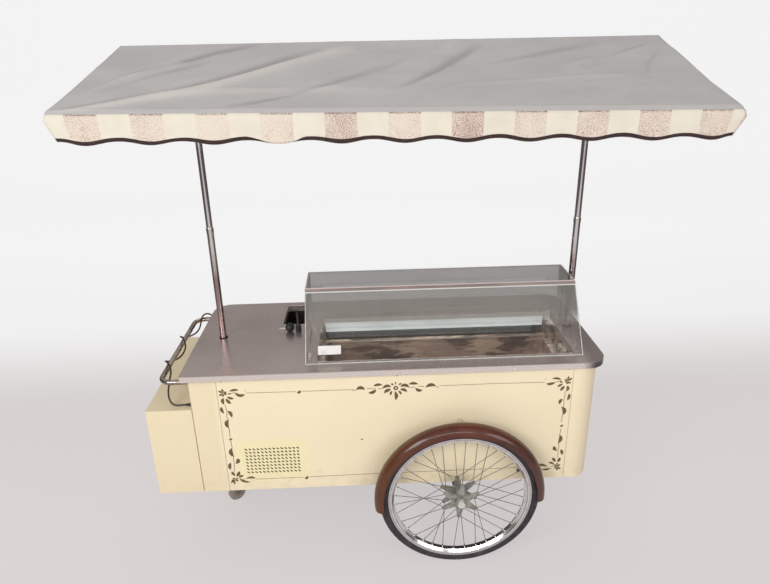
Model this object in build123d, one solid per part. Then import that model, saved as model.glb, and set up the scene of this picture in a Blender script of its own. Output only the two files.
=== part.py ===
"""A two-wheeled ice cream vending cart with a glass display well and a cloth canopy.

Millimetres, +Z up.  The origin is on the floor under the middle of the canopy, on the line of
its two poles.  The customer stands on the -Y side, the vendor on the +Y side, and the push
handle is at the -X end.
"""
from build123d import *
from math import cos, radians, sin, sqrt, tan
import os

os.makedirs("parts", exist_ok=True)

# Running clearance of every shaft in its bore
running_clearance = 0.05

# Road wheels
wheel_x = 229.4
wheel_stand_off = 64
rim_outer_radius = 291.6
rim_depth = 23
rim_half_width = 18
rim_wall = 2.5
rim_floor = 4
tyre_height = 35.3
tyre_section_radius = 22
tyre_bead_depth = 10.6
tyre_outer_radius = rim_outer_radius + tyre_height
tyre_neck_radius = rim_outer_radius - tyre_bead_depth
hub_barrel_radius = 21
hub_half_width = 40
flange_offset = 27
flange_thickness = 5
flange_tip_radius = 82
flange_valley_radius = 33
flange_tip_half_width = 6.5
flange_arms = 6
flange_first_angle = 34
flange_stagger = 50
arm_fillet = 5
spoke_radius = 1.25
spoke_anchor_radius = 74
spoke_fan = (-1, 0, 1)
spoke_anchor_angle = 3
spoke_rim_angle = 40
spoke_side_step = 2.4
nipple_radius = 2.4
nipple_length = 14
axle_radius = 10
axle_nut_radius = 16
axle_nut_length = 14
axle_end_play = 0.5
axle_beam_size = 32
axle_to_body = 25.1
axle_z = tyre_outer_radius

# Counter plate
counter_length = 1640
counter_depth = 694
counter_top_z = 900
counter_band = 26
counter_left = -841
counter_front = -333
counter_corner_radii = (6, 75, 75, 80)
counter_right = counter_left + counter_length
counter_back = counter_front + counter_depth
counter_under_z = counter_top_z - counter_band

# Body shell under the counter, carried by the axle
overhang_front = 19
overhang_left = 23
overhang_right = 20
body_wall = 20
body_nose_radius = 70
body_left_radius = 10
body_bottom_z = axle_z + axle_to_body
body_left = counter_left + overhang_left
body_right = counter_right - overhang_right
body_front = counter_front + overhang_front
body_back = counter_back - overhang_front
body_middle_y = (body_front + body_back) / 2
inside_left = body_left + body_wall
inside_right = body_right - body_wall
inside_front = body_front + body_wall
inside_back = body_back - body_wall
pan_thickness = 20
pan_top_z = body_bottom_z + pan_thickness

# Seams between the shell's panels
seam_left_x = -710
seam_right_x = 671.6
seam_gap = 1.5

# Ventilation grille pressed into the front panel
grille_columns = 14
grille_rows = 8
grille_pitch = 15.9
grille_left_x = -626
grille_above_bottom = 86
grille_bottom_z = body_bottom_z + grille_above_bottom
slot_length = 12
slot_height = 5.6
slot_slant_angle = 38
slot_overcut = 8
grille_sheet = 2
grille_margin = 14

# End locker at the handle's end
locker_length = 176.6
locker_drop = 131
locker_wall = 8
locker_top_z = counter_under_z - locker_drop
locker_left = body_left - locker_length

# Well for the ice cream, with its insulated tank
well_left = -326
well_right = 689
well_front = -248
well_back = 164
well_corner = 12
tank_wall = 25
tank_floor = 30
tank_depth = 314
tank_bottom_z = counter_under_z - tank_depth
strip_height = 41
strip_thickness = 4
rail_height = 34
rail_depth = 16
rail_groove = 3
ledge_drop = 14
ledge_width = 14
ledge_thickness = 3
ring_fitting_radius = 15
ring_fitting_bore = 8
ring_fitting_depth = 12
ring_fitting_places_y = (-128, -90)
ring_fitting_drop = 28
ring_fitting_z = counter_under_z - ring_fitting_drop

# Rinsing basin and its tap
basin_left = -496
basin_right = -391
basin_front = 106
basin_back = 316
basin_corner = 18
basin_wall = 3
basin_depth = 150
basin_bottom_z = counter_under_z - basin_depth
tap_x = -422
tap_y = 37
tap_post_radius = 12
tap_post_height = 28
spout_radius = 4.5
spout_reach = 142
spout_lean = 20
spout_drop = 18
knob_radius = 19.5
knob_offset = 36.6
neck_radius = 6
lever_radius = 3
lever_reach = 45
lever_below_middle = 4

# Compressor, one plain block on the floor pan
compressor_left = -671
compressor_length = 290
compressor_front = -225
compressor_depth = 330
compressor_height = 280

# Glass case
glass_thickness = 6
glass_left = -368
glass_right = 718
glass_front_base_y = -268
glass_front_top_y = -97
glass_back_y = 93
glass_height = 249
glass_top_z = counter_top_z + glass_height
edge_rail_width = 16
edge_rail_thickness = 1.5
clip_length = 30
clip_leg = 14
clip_thickness = 2.5
clip_places_y = (-190, 40)

# Poles
pole_half_span = 737
pole_radius = 13.5
pole_wall = 1
pole_lower_length = 483
pole_joint_z = counter_top_z + pole_lower_length
pole_upper_radius = 12.4
pole_telescope = 60
collar_radius = 14.5
collar_height = 20
socket_wall = 4
socket_depth = 180
socket_floor = 6
socket_clearance = 0.2
grommet_radius = 18
grommet_height = 3

# Canopy: the eaves fall by twice the drop from the handle's end to the other
canopy_half_length = 1058
canopy_half_depth = 483
canopy_eave_height = 957
canopy_eave_drop = 16
canopy_rise = 200
canopy_hip_run = 95
canopy_ridge_flat = 30
canopy_eave_z = counter_top_z + canopy_eave_height
canopy_ridge_z = canopy_eave_z + canopy_rise
canopy_ridge_half_length = canopy_half_length - canopy_hip_run
valance_height = 91
scallop_rise = 12
scallop_pitch = 191.5
cloth_thickness = 4
canopy_tube = 20
frame_inset = 0.3
ridge_drop = 6

# Push handle
handle_radius = 10
handle_wall = 1.5
handle_drop = 40
handle_z = counter_top_z - handle_drop
handle_run_x = -926
handle_bend_radius = 45
handle_front_inset = 14
handle_back_inset = 56

# Fenders
fender_inset = 16.9
fender_section_centre = tyre_outer_radius - fender_inset
fender_section_radius = 38
fender_thickness = 3
fender_start_angle = -2.5
fender_sweep_angle = 190
fender_stay_radius = 7
fender_stay_angles = (22, 90, 158)
fender_stay_rise = 17
fender_stay_ring = fender_section_centre + fender_stay_rise

# Castor under the handle's end
castor_x = -758
castor_y = 80
castor_heading_angle = 215
castor_trail = 32
castor_wheel_radius = 40
castor_wheel_width = 24
castor_tread = 11
castor_tread_rounding = 4
castor_fork_gap = 5
castor_fork_plate = 4
castor_cheek_setback = 6
castor_cheek_reach = 13
castor_cheek_foot = 8
castor_cheek_drop = 11
castor_crown_radius = 27
castor_crown_height = 14
castor_leg_size = 42
castor_leg_wall = 3
castor_plate_size = 90
castor_plate_thickness = 6
castor_plate_clear = 38
castor_plate_z = 2 * castor_wheel_radius + castor_plate_clear
castor_play = 0.5
castor_stem_radius = 8
castor_stem_height = 30
castor_bolt_radius = 5
castor_bolt_head = 8
castor_bolt_head_length = 5

# Storage door in the back panel
door_left = -690
door_right = -170
door_above_bottom = 48
door_below_counter = 40
door_bottom_z = body_bottom_z + door_above_bottom
door_top_z = counter_under_z - door_below_counter
door_gap = 6
hinge_knuckle_radius = 5
hinge_pin_radius = 2.5
hinge_bite = 1
hinge_leaf_length = 35
hinge_leaf_thickness = 2
hinge_height = 60
hinge_play = 0.3
hinge_inset = 70
hinge_places_z = (door_bottom_z + hinge_inset, door_top_z - hinge_inset)
pull_length = 120
pull_rod_radius = 5
pull_post_radius = 4
pull_stand_off = 30
pull_inset = 40

# Power lead with its gland and plug
gland_y = -290
gland_rise = 10.5
gland_z = locker_top_z + gland_rise
gland_flange_radius = 9
gland_flange_thickness = 4
relief_length = 20
relief_end_radii = (6.5, 4.2)
cord_radius = 3.5
arc_share = 0.45
plug_relief_radii = (4.2, 7)
plug_body_radius = 13.7
plug_body_length = 32
plug_body_rounding = 3
plug_pin_radius = 2.4
plug_pin_length = 19
plug_pin_spacing = 19

# The lead's route, X Y Z by hand: out of the gland, round the handle, back under it to its plug
cord_route = [
    (-842, -290, 753.5), (-862, -291, 753), (-882, -290, 751), (-901, -281, 757), (-913, -266, 776),
    (-914, -251, 805), (-907, -239, 838), (-902, -221, 865), (-913, -199, 880), (-930, -175, 884),
    (-945, -148, 874), (-951, -119, 857), (-941, -89, 840), (-923, -61, 836), (-907, -33, 844),
    (-901, -4, 862), (-911, 23, 878), (-928, 51, 884), (-944, 77, 875), (-951, 106, 857),
    (-941, 134, 840), (-923, 162, 836), (-908, 186, 836), (-898, 209, 844), (-894, 231, 858),
    (-894, 251, 875), (-891, 275, 885), (-880, 297, 885), (-864, 311, 875), (-851, 316, 852),
    (-843, 319, 826), (-845, 310, 799), (-854, 287, 775), (-865, 253, 757), (-872, 211, 748),
    (-872, 166, 747), (-865, 122, 747), (-855, 80, 747), (-848, 42, 747), (-846, 8, 747),
    (-846, -22, 747), (-861, -44, 747), (-886, -52, 747), (-911, -44, 747), (-926, -22, 747),
    (-927, 8, 747), (-921, 41, 748), (-909, 73, 751), (-900, 104, 757), (-900, 134, 757),
]


def block(x_range, y_range, z_range):
    """A box from its low and high limits."""
    sizes = [high - low for low, high in (x_range, y_range, z_range)]
    middle = [(high + low) / 2 for low, high in (x_range, y_range, z_range)]
    return Pos(*middle) * Box(*sizes)


def rod(start, end, radius):
    """A round bar between two points."""
    along = Vector(*end) - Vector(*start)
    base = Plane(origin=start, z_dir=along)
    return base * Cylinder(radius, along.length, align=(Align.CENTER, Align.CENTER, Align.MIN))


def outline(left, right, front, back, radii):
    """A rectangle seen from above; radii go front left, front right, back right, back left."""
    corners = [(left, front), (right, front), (right, back), (left, back)]
    face = make_face(Polyline(*corners, close=True))
    for corner, radius in zip(corners, radii):
        if radius > 0:
            face = fillet(face.vertices().sort_by_distance((*corner, 0))[0], radius)
    return face


def slab(face, low_z, high_z):
    """A face drawn from above, raised between two heights."""
    return Pos(0, 0, low_z) * extrude(face, high_z - low_z)


def side_profile(points, low_x, high_x):
    """An outline in the Y-Z plane, run along X."""
    face = make_face(Polyline(*[(0, y, z) for y, z in points], close=True))
    return Pos(low_x, 0, 0) * extrude(face, high_x - low_x, dir=(1, 0, 0))


def save(name, *solids):
    """Write one sub-part; several solids of one body may share a file."""
    shape = solids[0] if len(solids) == 1 else Compound(children=list(solids))
    shape.label = name
    export_step(shape, f"parts/{name}.step")


def counter_top():
    plate = slab(outline(counter_left, counter_right, counter_front, counter_back,
                         counter_corner_radii), counter_under_z, counter_top_z)
    plate -= slab(outline(well_left, well_right, well_front, well_back, [well_corner] * 4),
                  counter_under_z, counter_top_z)
    plate -= slab(outline(basin_left, basin_right, basin_front, basin_back, [basin_corner] * 4),
                  counter_under_z, counter_top_z)
    for side in (-1, 1):
        x = side * pole_half_span
        plate -= rod((x, 0, counter_under_z), (x, 0, counter_top_z), pole_radius + socket_clearance)
    return plate


def body_shell():
    """The four panels of the shell, cut from one ring at the real seams."""
    outer_radii = (body_left_radius, body_nose_radius, body_nose_radius, body_left_radius)
    inner_nose = body_nose_radius - body_wall
    inner_radii = (0, inner_nose, inner_nose, 0)
    ring = outline(body_left, body_right, body_front, body_back, outer_radii)
    inner = outline(inside_left, inside_right, inside_front, inside_back, inner_radii)
    wall = slab(ring - inner, body_bottom_z, counter_under_z)
    height = (body_bottom_z, counter_under_z)
    depth = (body_front, body_back)
    half_gap = seam_gap / 2
    middle = (seam_left_x + half_gap, seam_right_x - half_gap)
    left = wall & block((body_left, seam_left_x - half_gap), depth, height)
    right = wall & block((seam_right_x + half_gap, body_right), depth, height)
    front = wall & block(middle, (body_front, body_middle_y), height)
    back = wall & block(middle, (body_middle_y, body_back), height)
    return left, right, front, back


def grille_cuts():
    """The slanted slots, and the pocket that leaves a thin sheet behind them."""
    last_x = grille_left_x + (grille_columns - 1) * grille_pitch
    last_z = grille_bottom_z + (grille_rows - 1) * grille_pitch
    pocket = block((grille_left_x - grille_margin, last_x + grille_margin),
                   (body_front + grille_sheet, inside_front),
                   (grille_bottom_z - grille_margin, last_z + grille_margin))
    slot = Rot(0, slot_slant_angle, 0) * Box(slot_length, slot_overcut, slot_height)
    slots = []
    for column in range(grille_columns):
        for row in range(grille_rows):
            x = grille_left_x + column * grille_pitch
            z = grille_bottom_z + row * grille_pitch
            slots.append(Pos(x, body_front, z) * slot)
    return [pocket] + slots


def floor_pan():
    inner_nose = body_nose_radius - body_wall
    face = outline(inside_left, inside_right, inside_front, inside_back,
                   (0, inner_nose, inner_nose, 0))
    return slab(face, body_bottom_z, pan_top_z)


def end_locker():
    outer = block((locker_left, body_left), (body_front, body_back), (body_bottom_z, locker_top_z))
    inner = block((locker_left + locker_wall, body_left - locker_wall),
                  (body_front + locker_wall, body_back - locker_wall),
                  (body_bottom_z + locker_wall, locker_top_z - locker_wall))
    return outer - inner


def well_tank():
    outer = slab(outline(well_left - tank_wall, well_right + tank_wall, well_front - tank_wall,
                         well_back + tank_wall, [well_corner] * 4), tank_bottom_z, counter_under_z)
    inner = slab(outline(well_left, well_right, well_front, well_back, [well_corner] * 4),
                 tank_bottom_z + tank_floor, counter_under_z)
    return outer - inner


def well_trim():
    """The pale strip and the dark rail on the back wall, and the pan ledge all round."""
    straight = (well_left + well_corner, well_right - well_corner)
    strip_low = counter_under_z - strip_height
    rail_low = strip_low - rail_height
    strip = block(straight, (well_back - strip_thickness, well_back), (strip_low, counter_under_z))
    rail = block(straight, (well_back - rail_depth, well_back), (rail_low, strip_low))
    groove_z = rail_low + rail_height / 2
    rail -= block(straight, (well_back - rail_depth, well_back - rail_depth + rail_groove),
                  (groove_z, groove_z + rail_groove))
    ledge_top = rail_low - ledge_drop
    around = outline(well_left, well_right, well_front, well_back, [well_corner] * 4)
    within = outline(well_left + ledge_width, well_right - ledge_width, well_front + ledge_width,
                     well_back - ledge_width, [well_corner] * 4)
    ledge = slab(around - within, ledge_top - ledge_thickness, ledge_top)
    return strip, rail, ledge


def ring_fittings():
    rings = []
    for y in ring_fitting_places_y:
        face_x = well_right - ring_fitting_depth
        ring = rod((face_x, y, ring_fitting_z), (well_right, y, ring_fitting_z), ring_fitting_radius)
        ring -= rod((face_x, y, ring_fitting_z), (well_right, y, ring_fitting_z), ring_fitting_bore)
        rings.append(ring)
    return rings


def rinse_basin():
    outer = slab(outline(basin_left - basin_wall, basin_right + basin_wall,
                         basin_front - basin_wall, basin_back + basin_wall,
                         [basin_corner + basin_wall] * 4), basin_bottom_z, counter_under_z)
    inner = slab(outline(basin_left, basin_right, basin_front, basin_back, [basin_corner] * 4),
                 basin_bottom_z + basin_wall, counter_under_z)
    return outer - inner


def tap():
    """Black tap: a post with a thin spout over the basin, a ball knob and a bright lever."""
    spout_z = counter_top_z + tap_post_height - spout_radius
    end_x = tap_x - spout_lean
    end_y = tap_y + spout_reach
    body = rod((tap_x, tap_y, counter_top_z), (tap_x, tap_y, counter_top_z + tap_post_height), tap_post_radius)
    body += rod((tap_x, tap_y, spout_z), (end_x, end_y, spout_z), spout_radius)
    body += rod((end_x, end_y, spout_z - spout_drop), (end_x, end_y, spout_z), spout_radius)
    knob_x = tap_x - knob_offset
    knob_z = counter_top_z + knob_radius
    knob = Pos(knob_x, tap_y, knob_z) * Sphere(knob_radius)
    body += rod((knob_x, tap_y, knob_z), (tap_x, tap_y, knob_z), neck_radius) - knob
    lever_z = knob_z - lever_below_middle
    lever = rod((knob_x - lever_reach, tap_y, lever_z), (knob_x, tap_y, lever_z), lever_radius) - knob
    return body, knob, lever


def compressor():
    return block((compressor_left, compressor_left + compressor_length),
                 (compressor_front, compressor_front + compressor_depth),
                 (pan_top_z, pan_top_z + compressor_height))


def glass_case():
    """Four panes: the sides stand outside, the sloped front and level top lie between them."""
    top_under = glass_top_z - glass_thickness
    run = glass_front_top_y - glass_front_base_y
    rise = glass_top_z - counter_top_z
    slope = run / rise
    level_thickness = glass_thickness * sqrt(run ** 2 + rise ** 2) / rise
    seat_y = glass_front_base_y + (top_under - counter_top_z) * slope
    between = (glass_left + glass_thickness, glass_right - glass_thickness)
    side_points = [(glass_front_base_y, counter_top_z), (glass_front_top_y, glass_top_z),
                   (glass_back_y, glass_top_z), (glass_back_y, counter_top_z)]
    left = side_profile(side_points, glass_left, between[0])
    right = side_profile(side_points, between[1], glass_right)
    front = side_profile([(glass_front_base_y, counter_top_z),
                          (glass_front_base_y + level_thickness, counter_top_z),
                          (seat_y + level_thickness, top_under), (seat_y, top_under)], *between)
    top = side_profile([(seat_y, top_under), (glass_front_top_y, glass_top_z),
                        (glass_back_y, glass_top_z), (glass_back_y, top_under)], *between)
    rail_low_z = glass_top_z - edge_rail_width
    rail_low_y = glass_front_top_y - edge_rail_width * slope
    rail = side_profile([(rail_low_y, rail_low_z), (glass_front_top_y, glass_top_z),
                         (glass_front_top_y - edge_rail_thickness, glass_top_z),
                         (rail_low_y - edge_rail_thickness, rail_low_z)], glass_left, glass_right)
    return left, right, front, top, rail


def pane_clips():
    """Small angles that hold the side panes to the counter."""
    clips = []
    inner_faces = ((glass_left + glass_thickness, 1), (glass_right - glass_thickness, -1))
    for face_x, inward in inner_faces:
        for y in clip_places_y:
            y_range = (y - clip_length / 2, y + clip_length / 2)
            foot = sorted((face_x, face_x + inward * clip_leg))
            wall = sorted((face_x, face_x + inward * clip_thickness))
            clip = block(foot, y_range, (counter_top_z, counter_top_z + clip_thickness))
            clip += block(wall, y_range, (counter_top_z, counter_top_z + clip_leg))
            clips.append(clip)
    return clips


def pole_parts(side):
    """Socket, lower tube, joint collar, upper tube and counter grommet of one pole."""
    x = side * pole_half_span
    socket_bore = pole_radius + socket_clearance
    socket_low = counter_under_z - socket_depth
    socket = rod((x, 0, socket_low), (x, 0, counter_under_z), socket_bore + socket_wall)
    socket -= rod((x, 0, socket_low + socket_floor), (x, 0, counter_under_z), socket_bore)
    lower = rod((x, 0, socket_low + socket_floor), (x, 0, pole_joint_z), pole_radius)
    lower -= rod((x, 0, socket_low + socket_floor), (x, 0, pole_joint_z), pole_radius - pole_wall)
    upper_top = canopy_ridge_z - ridge_drop - canopy_tube
    upper = rod((x, 0, pole_joint_z - pole_telescope), (x, 0, upper_top), pole_upper_radius)
    upper -= rod((x, 0, pole_joint_z - pole_telescope), (x, 0, upper_top),
                 pole_upper_radius - 2 * pole_wall)
    collar = rod((x, 0, pole_joint_z - collar_height), (x, 0, pole_joint_z), collar_radius)
    collar -= rod((x, 0, pole_joint_z - collar_height), (x, 0, pole_joint_z), pole_radius)
    grommet = rod((x, 0, counter_top_z), (x, 0, counter_top_z + grommet_height), grommet_radius)
    grommet -= rod((x, 0, counter_top_z), (x, 0, counter_top_z + grommet_height), socket_bore)
    return socket, lower, collar, upper, grommet


def eave_z(x):
    """Height of the eaves, which slope a little from one end to the other."""
    return canopy_eave_z - canopy_eave_drop * x / canopy_half_length


def eave_ring(inset, lift):
    """The four corners at the eaves, moved in on every side and lifted."""
    x = canopy_half_length - inset
    y = canopy_half_depth - inset
    return [(cx, cy, eave_z(cx) + lift) for cx, cy in ((-x, -y), (x, -y), (x, y), (-x, y))]


def ridge_ring(inset):
    x = canopy_ridge_half_length - inset
    y = canopy_ridge_flat / 2
    return [(cx, cy, canopy_ridge_z - inset) for cx, cy in ((-x, -y), (x, -y), (x, y), (-x, y))]


def between_rings(lower, upper):
    """A closed form between two rings of four corners, each side creased along its diagonal."""
    faces = [make_face(Polyline(*ring, close=True)) for ring in (lower, upper)]
    for i in range(4):
        j = (i + 1) % 4
        faces.append(make_face(Polyline(lower[i], lower[j], upper[j], close=True)))
        faces.append(make_face(Polyline(lower[i], upper[j], upper[i], close=True)))
    return Solid(Shell(faces))


def hem_cut(half_span, low_line):
    """The face below the scalloped hem, low under each stripe and high between two."""
    tongues = int((half_span - scallop_pitch / 4) / scallop_pitch)
    stations = [-half_span]
    for step in range(-tongues, tongues):
        stations += [(step + 0.25) * scallop_pitch, (step + 0.75) * scallop_pitch]
    stations.append(half_span)
    middle_line = [low_line(station) + scallop_rise / 2 for station in stations]
    arcs = []
    for i in range(len(stations) - 1):
        centre = (stations[i] + stations[i + 1]) / 2
        arcs.append(ThreePointArc((stations[i], middle_line[i]),
                                  (centre, low_line(centre) + scallop_rise * (i % 2)),
                                  (stations[i + 1], middle_line[i + 1])))
    floor = min(middle_line) - 2 * scallop_rise
    below = Polyline((half_span, middle_line[-1]), (half_span, floor), (-half_span, floor),
                     (-half_span, middle_line[0]))
    return make_face(arcs + below.edges())


def canopy_cover():
    """Roof and valance in one skin, its hem cut in scallops on all four sides."""
    outer = between_rings(eave_ring(0, -valance_height), eave_ring(0, 0))
    outer += between_rings(eave_ring(0, 0), ridge_ring(0))
    inner = between_rings(eave_ring(cloth_thickness, -valance_height), eave_ring(cloth_thickness, 0))
    inner += between_rings(eave_ring(cloth_thickness, 0), ridge_ring(cloth_thickness))
    cover = outer - inner
    long_hem = hem_cut(canopy_half_length, lambda x: eave_z(x) - valance_height)
    for side in (-1, 1):
        start_y = side * canopy_half_depth
        cover -= Pos(0, start_y, 0) * extrude(Plane.XZ * long_hem, cloth_thickness, dir=(0, -side, 0))
        end_x = side * canopy_half_length
        short_hem = hem_cut(canopy_half_depth, lambda y: eave_z(end_x) - valance_height)
        cover -= Pos(end_x, 0, 0) * extrude(Plane.YZ * short_hem, cloth_thickness, dir=(-side, 0, 0))
    return cover


def canopy_frame():
    """Eave frame, ridge tube and the arms that the poles carry."""
    skin = cloth_thickness + frame_inset
    eaves = between_rings(eave_ring(skin, -canopy_tube), eave_ring(skin, 0))
    eaves -= between_rings(eave_ring(skin + canopy_tube, -canopy_tube), eave_ring(skin + canopy_tube, 0))
    ridge_top = canopy_ridge_z - ridge_drop
    ridge_end = canopy_ridge_half_length - canopy_tube
    half_tube = canopy_tube / 2
    ridge = block((-ridge_end, ridge_end), (-half_tube, half_tube), (ridge_top - canopy_tube, ridge_top))
    reach_y = canopy_half_depth - skin - canopy_tube
    arms = []
    for side in (-1, 1):
        x = side * pole_half_span
        for way in (-1, 1):
            arms.append(block((x - half_tube, x + half_tube), sorted((way * pole_upper_radius, way * reach_y)),
                              (eave_z(x) - canopy_tube, eave_z(x))))
    return eaves, ridge, arms


def hip_rafters(eaves, ridge):
    """Slanting bars from the ridge's ends to the corners of the eave frame."""
    half_tube = canopy_tube / 2
    corner_x = canopy_half_length - cloth_thickness - frame_inset - canopy_tube
    corner_y = canopy_half_depth - cloth_thickness - frame_inset - canopy_tube
    top_z = canopy_ridge_z - ridge_drop - half_tube
    rafters = []
    for side in (-1, 1):
        for way in (-1, 1):
            start = (side * (canopy_ridge_half_length - 2 * canopy_tube), way * half_tube, top_z)
            end = (side * corner_x, way * corner_y, eave_z(side * corner_x) - half_tube)
            rafters.append(rod(start, end, half_tube / 2) - ridge - eaves)
    return rafters


def push_handle():
    """A loop of round tube: two legs, the grip, and a bend between each leg and the grip."""
    leg_front = body_front + handle_front_inset
    leg_back = body_back - handle_back_inset
    bend_x = handle_run_x + handle_bend_radius
    grip_low = leg_front + handle_bend_radius
    grip_high = leg_back - handle_bend_radius
    bore = handle_radius - handle_wall
    straights = [((body_left, leg_front), (bend_x, leg_front)), ((bend_x, leg_back), (body_left, leg_back)),
                 ((handle_run_x, grip_low), (handle_run_x, grip_high))]
    outside = []
    inside = []
    for start, end in straights:
        ends = ((*start, handle_z), (*end, handle_z))
        outside.append(rod(*ends, handle_radius))
        inside.append(rod(*ends, bore))
    for centre_y, start_angle in ((grip_low, 180), (grip_high, 90)):
        place = Pos(bend_x, centre_y, handle_z) * Rot(0, 0, start_angle)
        outside.append(place * Torus(handle_bend_radius, handle_radius, major_angle=90, align=None))
        inside.append(place * Torus(handle_bend_radius, bore, major_angle=90, align=None))
    return sum(outside[1:], outside[0]) - inside


def wheel_plane(wheel_y):
    """A drawing plane with the wheel's radius along its X and the wheel's axis along its Y."""
    return Plane(origin=(wheel_x, wheel_y, axle_z), x_dir=(1, 0, 0), z_dir=(0, 0, 1))


def turned(profile, wheel_y, start=0, sweep_angle=360):
    """Turn a profile round the wheel's axle, from an angle above the level."""
    plane = wheel_plane(wheel_y)
    shape = revolve(plane * profile, Axis((wheel_x, wheel_y, axle_z), (0, -1, 0)), sweep_angle)
    return shape.rotate(Axis((wheel_x, wheel_y, axle_z), (0, -1, 0)), start)


def rim_profile():
    bottom = rim_outer_radius - rim_depth
    channel = make_face(Polyline((bottom, -rim_half_width / 2), (bottom, rim_half_width / 2),
                                 (bottom + rim_half_width / 2, rim_half_width),
                                 (rim_outer_radius, rim_half_width),
                                 (rim_outer_radius, -rim_half_width),
                                 (bottom + rim_half_width / 2, -rim_half_width), close=True))
    floor_radius = bottom + rim_floor
    inner_half = rim_half_width - rim_wall
    groove = make_face(Polyline((floor_radius, -inner_half / 2), (floor_radius, inner_half / 2),
                                (floor_radius + inner_half / 2, inner_half),
                                (rim_outer_radius, inner_half), (rim_outer_radius, -inner_half),
                                (floor_radius + inner_half / 2, -inner_half), close=True))
    return channel - groove


def tyre_profile():
    centre = tyre_outer_radius - tyre_section_radius
    neck_half = rim_half_width - rim_wall
    neck = Pos((tyre_neck_radius + centre) / 2, 0) * Rectangle(centre - tyre_neck_radius, 2 * neck_half)
    casing = Pos(centre, 0) * Circle(tyre_section_radius)
    below = Pos(rim_outer_radius / 2, 0) * Rectangle(rim_outer_radius, 4 * tyre_section_radius)
    return (casing - below) + (neck - rim_profile())


def wheel_hub(wheel_y):
    """A barrel between two star flanges whose arms each carry three spokes."""
    hub = rod((wheel_x, wheel_y - hub_half_width, axle_z), (wheel_x, wheel_y + hub_half_width, axle_z),
              hub_barrel_radius)
    half_pitch = 180 / flange_arms
    tip = (flange_tip_radius, flange_tip_half_width)
    arm = [(tip[0], -tip[1]), tip, (flange_valley_radius * cos(radians(half_pitch)),
                                    flange_valley_radius * sin(radians(half_pitch)))]
    for side in (-1, 1):
        star = []
        for step in range(flange_arms):
            turn = radians(flange_first_angle + 2 * step * half_pitch + (side + 1) / 2 * flange_stagger)
            star += [(x * cos(turn) - y * sin(turn), x * sin(turn) + y * cos(turn)) for x, y in arm]
        face = make_face(Polyline(*star, close=True))
        tips = face.vertices().filter_by(lambda v: Vector(v).length > flange_tip_radius)
        face = fillet(tips, arm_fillet)
        plane = Plane(origin=(wheel_x, wheel_y + side * flange_offset - flange_thickness / 2, axle_z),
                      x_dir=(1, 0, 0), z_dir=(0, 1, 0))
        hub += extrude(plane * face, flange_thickness)
    hub -= rod((wheel_x, wheel_y - hub_half_width, axle_z), (wheel_x, wheel_y + hub_half_width, axle_z),
               axle_radius + running_clearance)
    return hub


def wheel_spokes(wheel_y):
    """Every arm of a flange fans three spokes out; the outer two cross their neighbours'."""
    rim_end = rim_outer_radius - rim_depth + rim_floor / 2
    half_pitch = 180 / flange_arms
    spokes = []
    for side in (-1, 1):
        for arm in range(flange_arms):
            arm_angle = flange_first_angle + 2 * arm * half_pitch + (side + 1) / 2 * flange_stagger
            for fan in spoke_fan:
                at_hub = radians(arm_angle + fan * spoke_anchor_angle)
                at_rim = radians(arm_angle + fan * spoke_rim_angle)
                hub_y = wheel_y + side * flange_offset + fan * spoke_side_step
                start = Vector(wheel_x + spoke_anchor_radius * cos(at_hub), hub_y,
                               axle_z - spoke_anchor_radius * sin(at_hub))
                end = Vector(wheel_x + rim_end * cos(at_rim), wheel_y,
                             axle_z - rim_end * sin(at_rim))
                seat = end - (end - start).normalized() * nipple_length
                spoke = rod(tuple(start), tuple(end), spoke_radius)
                spoke += rod(tuple(seat), tuple(end), nipple_radius)
                spokes.append(spoke)
    return spokes


def fender_profile(inner):
    ring = Circle(fender_section_radius)
    if inner:
        ring = ring - Circle(fender_section_radius - fender_thickness)
    outer_half = Pos(fender_section_radius, 0) * Rectangle(2 * fender_section_radius,
                                                           4 * fender_section_radius)
    return Pos(fender_section_centre, 0) * (ring & outer_half)


def fender(wheel_y):
    return turned(fender_profile(True), wheel_y, fender_start_angle, fender_sweep_angle)


def fender_stays(wheel_y, panel_y):
    """Round stand-offs from the body's side to the fender's inner flank."""
    solid_form = turned(fender_profile(False), wheel_y, fender_start_angle, fender_sweep_angle)
    toward = wheel_y - panel_y
    depth_at_ring = sqrt(fender_section_radius ** 2 - (fender_stay_ring - fender_section_centre) ** 2)
    reach = abs(toward) - depth_at_ring + fender_stay_radius
    stays = []
    for angle in fender_stay_angles:
        x = wheel_x + fender_stay_ring * cos(radians(angle))
        z = axle_z + fender_stay_ring * sin(radians(angle))
        end_y = panel_y + reach * (1 if toward > 0 else -1)
        stays.append(rod((x, panel_y, z), (x, end_y, z), fender_stay_radius) - solid_form)
    return stays


def axle_parts(front_y, back_y):
    """One through axle in a square beam under the floor pan, with a nut outside each hub."""
    half = axle_beam_size / 2
    beam = block((wheel_x - half, wheel_x + half), (body_front, body_back),
                 (axle_z - half, body_bottom_z))
    beam -= rod((wheel_x, body_front, axle_z), (wheel_x, body_back, axle_z), axle_radius)
    hub_reach = hub_half_width + axle_end_play
    low_y = front_y - hub_reach
    high_y = back_y + hub_reach
    axle = rod((wheel_x, low_y - axle_nut_length, axle_z), (wheel_x, high_y + axle_nut_length, axle_z),
               axle_radius)
    for start, end in ((low_y - axle_nut_length, low_y), (high_y, high_y + axle_nut_length)):
        nut = Plane(origin=(wheel_x, start, axle_z), x_dir=(1, 0, 0), z_dir=(0, 1, 0))
        axle += extrude(nut * RegularPolygon(axle_nut_radius, 6), end - start)
    for start, end in ((front_y + hub_reach, body_front), (body_back, back_y - hub_reach)):
        axle += rod((wheel_x, start, axle_z), (wheel_x, end, axle_z), half)
    return beam, axle


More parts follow.
